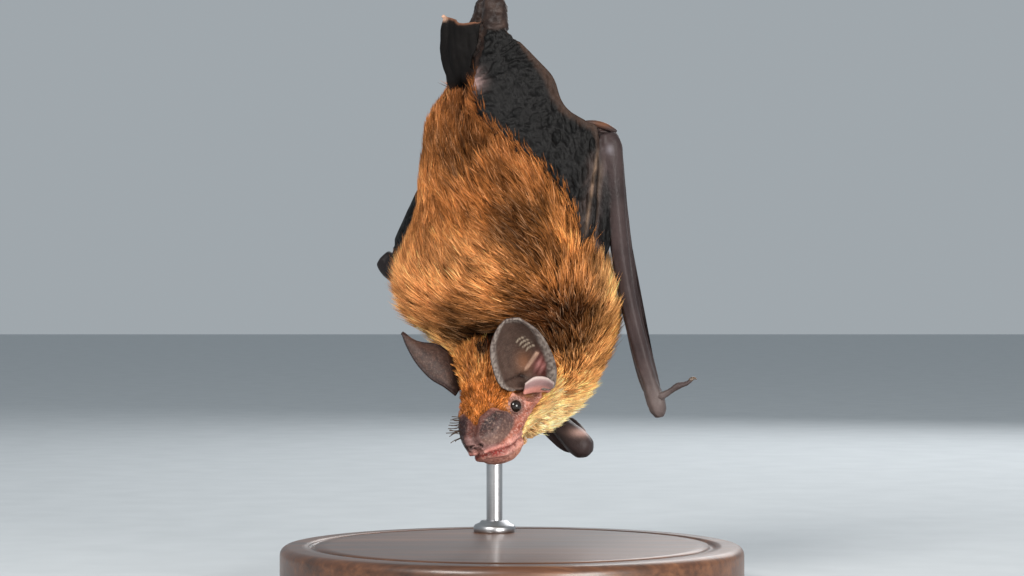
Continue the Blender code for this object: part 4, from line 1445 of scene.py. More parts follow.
@dataclass(frozen=True)
class Markings:
    """The colours of the coat, which the skin under it shares."""

    head: Head
    ground: Place = (178, 112, 56)
    marks: tuple[Mark, ...] = (
        Mark((-10, -6, 92), (12, 30, 7), (138, 82, 44)),
        Mark((-9, -10, 80), (6, 30, 6), (78, 44, 20)),
        Mark((2, -10, 79), (8, 30, 7), (140, 86, 46)),
        Mark((-17, -8, 70), (4, 30, 12), (178, 112, 62)),
        Mark((-7, -10, 69), (6, 30, 6), (168, 102, 52)),
        # Darker fur in the hollows of the back and along the arm, partly its dark roots and partly
        # painted shade.
        Mark((2.0, -12, 65.0), (3.2, 30, 4.0), (36, 18, 8)),
        Mark((6.0, -12, 62.0), (3.0, 30, 3.8), (44, 22, 10)),
        Mark((14.8, -12, 59.5), (1.3, 30, 6), (54, 28, 14)),
        Mark((17.8, -8, 55.5), (1.9, 30, 7), (224, 160, 100)),
        Mark((-6, -12, 60), (6, 30, 4), (200, 134, 80)),
        Mark((-17, -8, 56), (6, 30, 5), (206, 138, 84)),
        Mark((-8, -12, 52), (7, 30, 2.6), (132, 84, 46)),
        Mark((12, -12, 62), (4, 30, 6), (176, 112, 60)),
        # Painted shade on the shoulder, between the back's fur and the throat's.
        Mark((9, -10, 51), (5, 20, 3.4), (70, 34, 14)),
        Mark((11, -9, 46.0), (6, 12, 4.6), (42, 18, 6)),
        # Painted shadow in the crease under the back's fur, over the crown.
        Mark((-5, -12, 46.5), (9, 8, 2.4), (24, 11, 5)),
        Mark((-3.4, -12, 48.6), (5, 8, 2.4), (24, 11, 5)),
        Mark((15, -7, 41), (3, 12, 3), (214, 150, 90)),
        Mark((8, -8, 37.0), (4, 12, 3.2), (232, 160, 90)),
        Mark((18, 2, 56), (3, 20, 7), (208, 156, 100)),
        Mark((18, 2, 46), (3, 14, 5), (204, 140, 76)),
        Mark((10, -2, 31.4), (7, 20, 4.2), (255, 200, 140)),
        Mark((4, -2, 29), (7, 20, 4.4), (255, 206, 150)),
        Mark((2, 14, 38), (16, 9, 12), (236, 184, 118)),
        Mark((0, 16, 62), (24, 9, 20), (196, 146, 92)),
        Mark((-6, 12, 86), (14, 9, 12), (158, 104, 60)),
    )

    def body(self, points: Array) -> Array:
        """Colour places on the trunk and legs."""
        weight = np.full(len(points), 0.12)
        total = tinted(*self.ground)[None] * weight[:, None]
        for mark in self.marks:
            share = blob(points, mark.at, mark.reach) + 1e-9
            total = total + share[:, None] * tinted(*mark.colour)
            weight = weight + share
        streaks = np.array([rough(Vector((x / 1.6, y / 1.6, z / 6.5)), 1.0) for x, y, z in points])
        clouds = np.array([rough(Vector(p), 5.5, 3) for p in points])
        shade = np.clip(1.0 + 0.5 * streaks + 0.5 * clouds, 0.35, 1.8)
        return total / weight[:, None] * shade[:, None]

    def crown(self, points: Array) -> Array:
        """Colour the furred places on the head."""
        local = self.head.local(points)
        n, l, c = local.T
        base = even(points, 196, 126, 66)
        base = laid(base, tinted(158, 90, 38), ease(2, 5, n) * ease(0.0, 3.0, c))
        base = laid(base, tinted(244, 170, 92), ease(0.0, -3.4, c))
        base = laid(base, tinted(255, 198, 136), ease(-2.0, -5.5, c))
        base = laid(base, tinted(170, 108, 54), ease(-3.0, -8.0, n) * ease(0.0, 3.0, c))
        base = laid(base, tinted(166, 98, 44), ease(7.0, 9.0, n) * ease(-2.0, 0.0, c))
        patches = np.array([rough(Vector(p), 1.6, 4) for p in points])
        base = base * np.clip(1.0 + 0.5 * patches, 0.45, 1.5)[:, None]
        a, b = self.head.flat(local).T
        # Painted shadow in the crease between the near ear and the crown.
        beside = ease(-5.0, -3.6, a) * ease(3.0, 6.5, b) * (c > 2) * (l > 0)
        base = laid(base, tinted(24, 12, 6), beside)
        # Painted shadow along the top of the crown, under the overhanging fur of the back.
        base = laid(base, tinted(40, 20, 10), ease(9.6, 12.4, b) * 0.8)
        for aside in (-1.6, 2.2):
            part = bell(l - aside, 0.42) * ease(3.5, 5.5, c) * ease(7.0, 4.0, n)
            base = laid(base, tinted(120, 62, 26), 0.75 * part)
        return base

    def face(self, points: Array) -> Array:
        """Colour the bare places on the head."""
        local = self.head.local(points)
        n, l, c = local[:, 0], np.abs(local[:, 1]), local[:, 2]
        base = even(points, 188, 126, 104)
        strip = self.head.strip_distance(local)
        mottle = mottled(points, 0.9, 2)
        fine = mottled(points, 0.4, 9)
        base = laid(base, tinted(132, 62, 48), ease(3.2, 0.8, strip) * (0.1 + 0.9 * mottle))
        # Pale specks, partly paler skin and partly painted glints.
        base = laid(base, tinted(208, 152, 136), ease(0.56, 0.8, fine) * 0.75)
        cheek = blob(mirrored(local), (7.6, 5.6, -3.0), (1.6, 1.8, 1.2))
        base = laid(base, tinted(142, 76, 60), cheek)
        front = ease(7.2, 8.6, n) * ease(-2.6, -1.4, c + 0.12 * (n - 10.0))
        base = laid(base, tinted(54, 25, 25), front * (0.8 + 0.2 * fine))
        tip = ease(12.6, 13.6, n) * ease(2.4, 1.2, c) * ease(-2.4, -1.4, c)
        base = laid(base, tinted(130, 100, 96), tip * (0.5 + 0.5 * fine))
        chin = ease(9.0, 11.6, n) * ease(-3.2, -4.4, c)
        base = laid(base, tinted(166, 120, 108), chin * (0.45 + 0.55 * mottle))
        base = laid(base, tinted(92, 46, 40), chin * ease(0.5, 0.66, fine) * 0.7)
        a, b = (self.head.flat(local) - self.head.pad_at).T
        over = self.head.pad_lean[1] * a - self.head.pad_lean[0] * b
        # The pads are painted darker towards their upper-left crease as painted shade, and paler
        # towards their lower right as painted sheen.
        pad = laid(even(points, 40, 28, 28), tinted(82, 62, 57), ease(-1.7, 0.7, over))
        pad = laid(pad, tinted(122, 94, 84), ease(0.0, 2.4, over - 0.3 * (a + b))
            * (0.25 + 0.75 * fine))
        pad = laid(pad, tinted(150, 122, 108), ease(0.6, 0.8, fine) * 0.5)
        base = laid(base, pad, self.head.pad(local))
        under = blob(mirrored(local), (6.9, 5.4, -0.2), (1.2, 1.6, 1.2))
        base = laid(base, tinted(78, 58, 58), under)
        # Painted shade: only the far side of the muzzle is darkened.
        far = ease(-0.6, -2.0, local[:, 1]) * ease(7.6, 9.6, n) * ease(-3.6, -2.0, c)
        base = laid(base, tinted(36, 24, 26), far * 0.9)
        mouth, share = self.head.mouth_line(local)
        on = ease(0.0, 0.1, share)
        base = laid(base, tinted(206, 146, 134), on * bell(np.abs(mouth) - 0.8, 0.5) * 0.8)
        base = laid(base, tinted(96, 30, 26), on * bell(mouth, 0.36))
        wet = ease(0.5, 0.8, share) * bell(mouth, 0.9) * ease(1.2, 2.0, l)
        base = laid(base, tinted(132, 40, 34), wet)
        eye = self.head.eye_distance(local)
        base = laid(base, tinted(92, 62, 54), ease(2.3, 1.5, eye) * 0.85)
        base = laid(base, tinted(122, 98, 90), bell(eye - 1.12, 0.15) * 0.8)
        base = laid(base, tinted(14, 9, 8), ease(0.98, 0.88, eye))
        beside = mirrored(local) - np.array(self.head.nostril)
        return laid(base, tinted(24, 12, 11), ease(0.6, 0.3, np.linalg.norm(beside, axis=1)))

    def head_skin(self, points: Array) -> Array:
        """Colour the whole skin of the head, bare or under its coat."""
        local = self.head.local(points)
        base = laid(self.crown(points) * 0.62, self.face(points), self.head.bare(local))
        inside = self.head.ear_floor(local) * self.head.ear_clear(local)
        return laid(base, tinted(70, 44, 36), inside)

    def ear_skin(self, points: Array, across: Array, along: Array, inner: Array) -> Array:
        """Colour the ears by the place on their sheet; inner is 1 on the opening's side."""
        local = self.head.local(points)
        flat = self.head.flat(local)
        near = (local[:, 1] > 0) * inner
        tone = mottled(points, 0.7, 4)
        base = laid(even(points, 58, 45, 39), tinted(84, 68, 60), tone)
        base = laid(base, tinted(122, 84, 62), Ear.spot(flat, 5.0, 5.9, 1.5, 1.9) * near * 0.9)
        base = laid(base, tinted(84, 30, 26), Ear.spot(flat, 8.4, 5.4, 1.7, 2.5) * near)
        crumple = 0.6 + 0.4 * np.cos(5.2 * flat[:, 0] - 2.6 * flat[:, 1])
        base = laid(base, tinted(184, 128, 122), Ear.spot(flat, 7.9, 5.2, 1.1, 1.4) * near * 0.9
            * crumple)
        base = laid(base, tinted(60, 22, 20), Ear.spot(flat, 9.4, 3.6, 0.8, 1.2) * near * 0.8)
        # Painted shadow in the hollow at the ear's foot and in the crease over its lower lobe.
        base = laid(base, tinted(14, 8, 7), Ear.spot(flat, 4.4, 3.1, 0.8, 0.5) * near)
        base = laid(base, tinted(30, 20, 17), Ear.lobe(flat) * near * 0.7)
        base = laid(base, tinted(206, 168, 144), Ear.spine(flat) * near)
        base = laid(base, tinted(178, 162, 142), Ear.ribs(flat) * near * 0.85)
        rim = np.maximum(ease(0.12, 0.06, across), ease(0.84, 0.9, across))
        rim = np.maximum(rim, ease(0.86, 0.93, along)) * (across > -0.5)
        fine = mottled(points, 0.35, 7)
        grey = laid(even(points, 78, 68, 64), tinted(132, 122, 114), ease(0.3, 0.75, fine))
        base = laid(base, grey, rim * near)
        behind = laid(even(points, 40, 29, 27), tinted(72, 54, 46), tone * (1 - rim))
        base = laid(base, behind, (across > -0.5) * (1 - near))
        blade = (across < -0.5).astype(float)
        rise = along - 1.0
        flap = laid(even(points, 190, 128, 116), tinted(128, 100, 98), ease(0.3, 0.6, rise))
        flap = laid(flap, tinted(168, 150, 144), ease(0.78, 0.92, rise))
        return laid(base, flap, blade)

    @staticmethod
    def wing_skin(points: Array, across: Array) -> Array:
        """Colour the membranes."""
        base = even(points, 11, 10, 10)
        edge = ease(0.86, 0.95, across) * ease(70.0, 90.0, points[:, 2])
        base = laid(base, tinted(50, 36, 29), edge)
        x, _, z = points.T
        beside = x - 13.8 - 0.157 * (z - 68.3)
        low = ease(83.5, 80.0, z)
        base = laid(base, tinted(48, 39, 36), bell(beside + 0.5, 1.1) * low)
        base = laid(base, tinted(104, 84, 68), bell(beside, 0.28) * low * ease(64.0, 70.0, z) * 0.7)
        # Painted highlight on the bare knee.
        patch = blob(points, (-7.1, -8, 95.6), (1.6, 3, 1.7))
        return laid(base, tinted(150, 124, 120), 0.8 * patch)

    @staticmethod
    def arm_skin(points: Array) -> Array:
        """Colour the arms."""
        tone = mottled(points, 4.0, 5)
        base = laid(even(points, 38, 30, 30), tinted(70, 58, 57), tone)
        near = points[:, 1] < 6
        aside = points[:, 0] - (13.4 + (points[:, 2] - 53.0) * 0.122)
        strip = ease(0.9, 0.3, aside) * near * ease(82.0, 78.0, points[:, 2])
        base = laid(base, tinted(78, 62, 53), strip * 0.8)
        streak = bell(aside + 0.4, 0.4) * near * ease(81.0, 76.0, points[:, 2])
        base = laid(base, tinted(134, 112, 94), streak * ease(64.0, 70.0, points[:, 2]) * 0.7)
        # Painted highlight on the near elbow.
        knob = blob(points, (18.2, -10.6, 82.6), (0.6, 1.4, 0.8))
        base = laid(base, tinted(104, 98, 102), knob)
        cap = blob(points, (17.6, -7.0, 87.7), (2.6, 6.0, 0.8))
        base = laid(base, tinted(98, 63, 43), cap)
        # Painted shade: the far arm's elbow is darker than the near one.
        far_elbow_shade = ease(-19.0, -22.5, points[:, 0])
        base = laid(base, tinted(34, 29, 30), far_elbow_shade)
        far_wrist = blob(points, (13.9, 15.0, 28.6), (2.4, 6.0, 0.8))
        base = laid(base, tinted(106, 94, 91), blob(points, (26.6, -6, 35), (4, 8, 5)) * 0.7)
        return laid(base, tinted(196, 160, 150), far_wrist)

    @staticmethod
    def leg_skin(points: Array) -> Array:
        """Colour the bare legs and feet."""
        tone = mottled(points, 1.4, 6)
        return laid(even(points, 32, 24, 22), tinted(74, 58, 51), tone * tone)

    @staticmethod
    def tail_skin(points: Array, across: Array) -> Array:
        """Colour the tail and its membrane."""
        base = even(points, 8, 5.5, 5)
        base = laid(base, tinted(110, 74, 56), ease(0.95, 1.0, across))
        tip = ease(-11.8, -13.0, points[:, 0]) * ease(106.8, 107.6, points[:, 2])
        return laid(base, tinted(190, 152, 130), tip)


@dataclass
class Flesh:
    """Every fleshy part, joined into one skin."""

    trunk: Trunk
    head: Head
    ears: Sequence[Ear]
    arms: dict[Side, Arm]
    legs: dict[Side, Leg]
    sheets: Sequence[Sheet]
    tail: Limb
    markings: Markings
    nodes: tuple[str, ...]
    data: SkinData | None = None

    def body_tree(self) -> BVHTree:
        """Join the plain forms that the membranes lie over, for finding their surface."""
        forms = [self.trunk.form(), self.tail.form()]
        for leg in self.legs.values():
            forms += [bm for region, bm in leg.forms() if region in (Region.THIGH, Region.LEG)][:2]
        for arm in self.arms.values():
            forms.append(arm.forms()[0][1])
        whole = gathered(forms)
        bmesh.ops.recalc_face_normals(whole, faces=whole.faces)
        whole.normal_update()
        return BVHTree.FromBMesh(whole)

    def forms(self) -> list[tuple[Region, Form]]:
        """Skin every part, each with its region."""
        made = [(Region.BODY, self.trunk.form()), (Region.HEAD, self.head.form())]
        for ear in self.ears:
            made += [(Region.EAR, ear.form()), (Region.EAR, ear.tragus())]
        for limb in (*self.arms.values(), *self.legs.values()):
            made += limb.forms()
        body = self.body_tree()
        made += [(sheet.region, sheet.form(body)) for sheet in self.sheets]
        made.append((Region.TAIL, self.tail.form()))
        return made

    @staticmethod
    def operand(bm: Form, region: Region, slots: Sequence[Finish]) -> bpy.types.Object:
        """Make a form an object that can be joined, its faces numbered by their region."""
        for name in ("across", "along", "fold"):
            if name not in bm.verts.layers.float:
                layer = bm.verts.layers.float.new(name)
                for vert in bm.verts:
                    vert[layer] = -1.0
        bmesh.ops.triangulate(bm, faces=bm.faces)
        for face in bm.faces:
            face.material_index = region.value
        mesh = bpy.data.meshes.new(region.name)
        bm.to_mesh(mesh)
        bm.free()
        for slot in slots:
            mesh.materials.append(slot)
        obj = bpy.data.objects.new(region.name, mesh)
        bpy.context.scene.collection.objects.link(obj)
        return obj

    def joined(self) -> bpy.types.Mesh:
        """Join the forms into one closed mesh, still in millimetres."""
        slots = [bpy.data.materials.new(region.name) for region in Region]
        whole, *others = [self.operand(bm, region, slots) for region, bm in self.forms()]
        for other in others:
            modifier = whole.modifiers.new(other.name, "BOOLEAN")
            modifier.operation = "UNION"
            modifier.solver = "MANIFOLD"
            modifier.object = other
        depsgraph = bpy.context.evaluated_depsgraph_get()
        mesh = bpy.data.meshes.new_from_object(whole.evaluated_get(depsgraph))
        for obj in (whole, *others):
            old = obj.data
            bpy.data.objects.remove(obj)
            bpy.data.meshes.remove(old)
        return mesh

    @staticmethod
    def healed(mesh: bpy.types.Mesh) -> None:
        """Smooth the lines where the forms join, and triangulate."""
        bm = bmesh.new()
        bm.from_mesh(mesh)
        bmesh.ops.triangulate(bm, faces=bm.faces)
        near = {v for v in bm.verts if len({f.material_index for f in v.link_faces}) > 1}
        for _ in range(2):
            near |= {e.other_vert(v) for v in near for e in v.link_edges}
        for _ in range(4):
            relaxed(bm, near, 0.5)
        loose = sum(not e.is_manifold for e in bm.edges)
        LOG.info("skin: %d open edges", loose)
        bm.to_mesh(mesh)
        bm.free()

    def build(self, finish: SkinFinish) -> bpy.types.Object:
        """Join the skin, colour it, and stand it for the flesh of the frame."""
        mesh = self.joined()
        self.healed(mesh)
        self.data = SkinData(mesh)
        self.colour(mesh)
        mesh.transform(Matrix.Scale(MM, 4))
        slots = list(mesh.materials)
        mesh.materials.clear()
        for slot in slots:
            bpy.data.materials.remove(slot)
        for name in ("across", "along", "fold"):
            mesh.attributes.remove(mesh.attributes[name])
        mesh.shade_smooth()
        return settled("skin", mesh, [finish.make()], "wing_skin", *self.nodes)

    def colour(self, mesh: bpy.types.Mesh) -> None:
        """Give the skin its tint, its gloss and its pebbling."""
        data, marks = self.data, self.markings
        points = data.points
        across, along = data.sheet["across"], data.sheet["along"]
        shares = {region: data.share(region, 3) for region in Region}
        side = np.sign(self.head.local(points)[:, 1])
        turned = data.normals @ np.array([self.head.nose, self.head.left, self.head.crown]).T
        turned[:, 1] *= side
        inner = ease(0.1, -0.3, turned @ np.array(self.ears[0].back))
        # Painted light and shade on the wing membranes: their fold ridges are lighter and their
        # valleys darker.
        ridges = 0.42 + 1.15 * np.clip(data.sheet["fold"] - 1, 0, 1)
        tints = {
            Region.BODY: marks.body(points) * 0.6,
            Region.HEAD: marks.head_skin(points),
            Region.EAR: marks.ear_skin(points, across, along, inner),
            Region.WING: marks.wing_skin(points, across) * ridges[:, None],
            Region.ARM: marks.arm_skin(points),
            Region.LEG: marks.leg_skin(points),
            Region.TAIL: marks.tail_skin(points, across),
            Region.THIGH: marks.body(points) * 0.6,
        }
        tint = sum(tints[region] * shares[region][:, None] for region in Region)
        gloss = 0.46 * np.ones(len(points))
        gloss += 0.16 * (shares[Region.BODY] + shares[Region.THIGH]) + 0.1 * shares[Region.WING]
        gloss += 0.3 * shares[Region.TAIL]
        pebble = 0.9 * shares[Region.WING] + 0.25 * shares[Region.ARM] + 0.3 * shares[Region.LEG]
        local = self.head.local(points)
        lids = ease(1.1, 1.4, self.head.eye_distance(local))
        face = self.head.bare(local) * shares[Region.HEAD] * lids
        n, _, c = local.T
        front = ease(6.6, 8.4, n) * ease(-3.0, -1.6, c)
        dark = np.maximum(self.head.pad(local), front)
        speck = face * (1 - 0.75 * dark) + 0.12 * shares[Region.EAR]
        rgba = np.concatenate([tint, np.ones((len(points), 1))], 1).astype(np.float32)
        layer = mesh.color_attributes.new("tint", "FLOAT_COLOR", "POINT")
        layer.data.foreach_set("color", rgba.ravel())
        for name, values in (("gloss", gloss), ("pebble", pebble), ("speck", speck)):
            layer = mesh.attributes.new(name, "FLOAT", "POINT")
            layer.data.foreach_set("value", values.astype(np.float32))


# ------------------------------------------------------------------ the coat


@dataclass(frozen=True)
class TuftShape:
    """A tuft: a thin closed spike with three sides that bends over along the body."""

    stages: tuple[float, ...] = (0.0, 0.5)
    widths: tuple[float, ...] = (0.9, 0.9)

    def template(self) -> tuple[Array, list[list[int]]]:
        """Make one tuft's corners and faces.

        Returns:
            For each corner its share of the length, its place aside and its height,
            and each face's corners.
        """
        bm = bmesh.new()
        loop = bmesh.ops.create_circle(bm, cap_ends=True, segments=3, radius=1.0)["verts"]
        spots = [(-0.5, 0.0), (0.5, 0.0), (0.0, 0.42)]
        for vert, (aside, up) in zip(loop, spots):
            vert.co = Vector((aside * self.widths[0], up * self.widths[0], 0))
        edges = bm.edges[:]
        for stage, width in zip(self.stages[1:], self.widths[1:]):
            grown = bmesh.ops.extrude_edge_only(bm, edges=edges)["geom"]
            fresh = [g for g in grown if isinstance(g, bmesh.types.BMVert)]
            inside = set(fresh)
            edges = [g for g in grown if isinstance(g, bmesh.types.BMEdge)
                and set(g.verts) <= inside]
            scale = width / self.widths[self.stages.index(stage) - 1]
            for vert in fresh:
                vert.co = Vector((vert.co.x * scale, vert.co.y * scale, stage))
        grown = bmesh.ops.extrude_edge_only(bm, edges=edges)["geom"]
        tip = [g for g in grown if isinstance(g, bmesh.types.BMVert)]
        bmesh.ops.pointmerge(bm, verts=tip, merge_co=(0, 0.1, 1))
        bmesh.ops.recalc_face_normals(bm, faces=bm.faces)
        bm.verts.index_update()
        corners = np.array([(v.co.z, v.co.x, v.co.y) for v in bm.verts])
        faces = [[v.index for v in f.verts] for f in bm.faces]
        bm.free()
        return corners, faces


@dataclass
class Tufts:
    """Many tufts as arrays, in millimetres."""

    root: Array
    normal: Array
    way: Array
    length: Array
    lift: Array
    width: Array
    bend: Array
    tint: Array
    tone: Array
    uv: Array

    def picked(self, chosen: Array) -> "Tufts":
        """Give only the chosen tufts."""
        return Tufts(**{name: getattr(self, name)[chosen] for name in self.__dataclass_fields__})

    def corners(self, template: Array) -> Array:
        """Place every tuft's corners."""
        share, aside, high = template[:, 0], template[:, 1], template[:, 2]
        cross = np.cross(self.normal, self.way)
        length = self.length[:, None, None]
        rise = (1 - (1 - share) ** 1.7)[None, :, None] * (self.length * self.lift)[:, None, None]
        rise = rise - 0.3 * (1 - share)[None, :, None] * np.ones_like(length)
        forward = (share - 0.06 * share**2)[None, :, None] * length * self.way[:, None, :]
        bend = (self.bend * self.length)[:, None, None]
        sway = (share**2)[None, :, None] * bend * cross[:, None, :]
        spread = aside[None, :, None] * self.width[:, None, None] * cross[:, None, :]
        thick = high[None, :, None] * self.width[:, None, None] * self.normal[:, None, :]
        up = self.normal[:, None, :] * rise
        return self.root[:, None, :] + forward + up + sway + spread + thick

    def colours(self, template: Array, root_shade: float, tip_shade: float) -> Array:
        """Colour every corner, darker at the root and paler at the tip."""
        share = template[:, 0]
        deep = np.array([1.1, 0.92, 0.78]) * root_shade
        ramp = deep + (1.0 - deep) * ease(0.0, 0.7, share)[:, None]
        ramp = ramp + (tip_shade - 1.0) * ease(0.5, 1.0, share)[:, None]
        made = self.tint[:, None, :] * ramp[None] * self.tone[:, None, None]
        pale = ease(0.5, 1.0, share)[None, :, None] * 0.1
        bright = np.clip(self.tone - 0.8, 0, 1)[:, None, None]
        made = made + (np.array([0.8, 0.52, 0.24]) - made) * pale * bright
        return np.clip(made, 0.0, 1.0)


@dataclass
class Coat:
    """The hair: tufts over the furred skin, in pieces of their own."""

    flesh: Flesh
    trunk: Trunk
    head: Head
    markings: Markings
    body_tufts: int = 96000
    head_tufts: int = 40000
    limb_tufts: int = 5000
    clump_size: float = 30.0
    patch: float = 0.003
    piece_limit: int = 19500

    def lean(self, points: Array) -> Array:
        """Give how far the hair leans to the side of the tail, in radians, over the back."""
        x, z = points[:, 0], points[:, 2]
        middle = bell(x + 2.0, 11.0)
        low = ease(88.0, 64.0, z)
        turn = 6.0 + 14.0 * ease(-9.0, 4.0, x) + 34.0 * middle * low
        turn += 16.0 * ease(60.0, 50.0, z) * ease(12.0, 2.0, x)
        turn -= 24.0 * ease(6.0, 14.0, x) * low
        return np.radians(turn)

    def ways(self, points: Array, normals: Array, head: Array, rng: np.random.Generator) -> Array:
        """Give the direction in which each tuft lies, along the skin.

        Args:
            points: the roots.
            normals: of the skin there.
            head: each root's share in the head's coat.
            rng: the source of chance.

        Returns:
            Unit directions along the skin.
        """
        turn = self.lean(points) * ease(4.0, -3.0, points[:, 1])
        body = np.stack([-np.sin(turn), 0 * turn, np.cos(turn)], 1)
        under = ease(42.0, 33.0, points[:, 2])[:, None]
        body = body * (1 - under) + np.array([0.78, 0.3, 0.55]) * under
        nose = -np.array(self.head.nose)
        local = self.head.local(points)
        fan = 0.35 * np.sign(local[:, 1]) * ease(0.5, 4.0, np.abs(local[:, 1]))
        crest = nose[None] + fan[:, None] * np.array(self.head.left)[None]
        way = body * (1 - head)[:, None] + crest * head[:, None]
        way = way + 0.10 * rng.standard_normal(way.shape)
        way -= (way * normals).sum(1)[:, None] * normals
        return way / np.linalg.norm(way, axis=1)[:, None]

    def roots(self, region: Region, count: int, rng: np.random.Generator) -> tuple[Array, Array]:
        """Scatter roots over a region of the skin.

        Args:
            region: the part of the skin.
            count: how many to scatter, before those under other parts are left out.
            rng: the source of chance.

        Returns:
            The roots and the skin's normals there.
        """
        data = self.flesh.data
        faces = data.faces[data.face_region == region.value]
        a, b, c = (data.points[faces[:, i]] for i in range(3))
        area = np.linalg.norm(np.cross(b - a, c - a), axis=1) / 2
        if region is Region.HEAD:
            local = self.head.local((a + b + c) / 3)
            area = area * (1 - self.head.bare(local)) * (1 - self.head.ear_floor(local))
            a_flat, b_flat = self.head.flat(local).T
            opening = ease(1.2, 1.7, a_flat) * ease(1.2, 1.8, b_flat) * ease(7.0, 6.0, b_flat)
            area = area * (1 - opening * (local[:, 1] > 4))
        if region is Region.BODY:
            x, y, z = (a + b + c).T / 3
            area = area * ease(28.6, 31.0, z) * (1 - (z > 91) * (x > -9) * (y < 0))
        if region is Region.WING:
            across = data.sheet["across"][faces].mean(1)
            middle = (a + b + c) / 3
            area = area * ease(0.16, 0.02, across) * ease(97.0, 92.0, middle[:, 2])
            area = area * (middle[:, 0] < 13.4)
        if region in (Region.LEG, Region.THIGH):
            x, y, z = (a + b + c).T / 3
            area = area * ease(108.0, 96.0, z) * (1 - (z > 90) * (x > -9) * (y < 0))
        chosen = np.searchsorted(np.cumsum(area) / area.sum(), rng.random(count))
        u, v = rng.random((2, count))
        over = u + v > 1
        u[over], v[over] = 1 - u[over], 1 - v[over]
        w = 1 - u - v
        picked = faces[chosen]

        def mixed(values: Array) -> Array:
            """Give the values at the roots, from those at their faces' corners."""
            return sum(share[:, None] * values[picked[:, i]] for i, share in enumerate((w, u, v)))

        normals = mixed(data.normals)
        return mixed(data.points), normals / np.linalg.norm(normals, axis=1)[:, None]

    def open_air(self, points: Array, normals: Array, tree: BVHTree) -> Array:
        """Tell which roots have nothing of the skin close over them."""
        free = np.ones(len(points), bool)
        for i, (p, n) in enumerate(zip(points, normals)):
            place, direction = Vector(p), Vector(n)
            free[i] = tree.ray_cast(place + direction * 0.25, direction, 2.6)[0] is None
        return free

    def grow(self, region: Region, count: int, rng: np.random.Generator, tree: BVHTree) -> Tufts:
        """Grow the tufts of one region."""
        root, normal = self.roots(region, count, rng)
        free = self.open_air(root, normal, tree)
        root, normal = root[free], normal[free]
        size = len(root)
        local = self.head.local(root)
        if region is Region.HEAD:
            n, _, c = local.T
            head = ease(-9.0, -4.0, n)
            length = 2.9 - 1.7 * ease(-2.0, 7.0, n) + 1.1 * ease(0.0, -4.5, c) * ease(9.0, 3.0, n)
            length = length * (0.5 + 0.5 * ease(1.6, 3.2, self.head.eye_distance(local)))
            length = length * (1 - 0.45 * ease(9.0, 12.5, n))
            lift = 0.42 - 0.14 * ease(-2.0, 6.0, n)
            tint = self.markings.crown(root)
            uv = self.head.unwrap(root)
            width = np.full(size, 0.19)
        else:
            head = ease(7.5, 3.0, np.linalg.norm(root - np.array(self.head.at), axis=1) - 6.0)
            head = 0.75 * head * (root[:, 2] < 48)
            z = root[:, 2]
            throat = ease(48.0, 38.0, z)
            length = 5.6 - 1.6 * ease(76.0, 92.0, z) - 2.2 * throat
            lift = 0.3 - 0.08 * ease(74.0, 90.0, z)
            lift = lift * (1 - 0.7 * ease(-8.0, -14.0, root[:, 0]) * ease(54.0, 62.0, z))
            length = length * (1 - 0.35 * ease(34.0, 31.0, z))
            tint = self.markings.body(root) * (1 + 0.3 * ease(42.0, 36.0, z))[:, None]
            uv = self.trunk.unwrap(root)
            width = 0.22 - 0.03 * throat
        if region in (Region.THIGH, Region.LEG, Region.TAIL):
            length = np.full(size, 2.4)
            lift = np.full(size, 0.24)
            width = np.full(size, 0.22)
        if region is Region.WING:
            length = np.full(size, 3.2)
            lift = np.full(size, 0.16)
            width = np.full(size, 0.14)
            tint = tint * 0.8
        way = self.ways(root, normal, head, rng)
        length = length * rng.uniform(0.72, 1.2, size)
        tone = rng.normal(1.0, 0.32, size).clip(0.35, 2.1)
        pale = (rng.random(size) < 0.2)[:, None] * np.array([0.07, 0.055, 0.038])
        tint = tint * (1 + 0.35 * (pale > 0)) + pale * (region is not Region.WING)
        bend = rng.normal(0.0, 0.09, size)
        width = width * rng.uniform(0.7, 1.25, size)
        lift = lift * rng.uniform(0.7, 1.35, size)
        return Tufts(root, normal, way, length, lift, width, bend, tint, tone, uv)

    def clumped(self, tufts: Tufts, rng: np.random.Generator, pull: float) -> None:
        """Draw the tufts of each clump together into locks with gaps between them."""
        count = max(int(len(tufts.root) / self.clump_size), 8)
        seeds = rng.choice(len(tufts.root), count, replace=False)
        tree = KDTree(count)
        for i, seed in enumerate(seeds):
            tree.insert(Vector(tufts.root[seed]), i)
        tree.balance()
        own = np.array([tree.find(Vector(p))[1] for p in tufts.root])
        sway = rng.normal(0.0, 0.16, count)[own]
        tone = rng.normal(1.0, 0.24, count).clip(0.5, 1.7)[own]
        lift = rng.uniform(0.6, 1.45, count)[own]
        seed = seeds[own]
        tip = tufts.root[seed] + tufts.way[seed] * tufts.length[seed][:, None]
        aim = tip - tufts.root
        aim -= (aim * tufts.normal).sum(1)[:, None] * tufts.normal
        aim /= np.linalg.norm(aim, axis=1)[:, None] + 1e-9
        cross = np.cross(tufts.normal, tufts.way)
        way = tufts.way * (1 - pull) + aim * pull + cross * sway[:, None]
        tufts.way = way / np.linalg.norm(way, axis=1)[:, None]
        tufts.tone = tufts.tone * tone
        tufts.lift = tufts.lift * lift

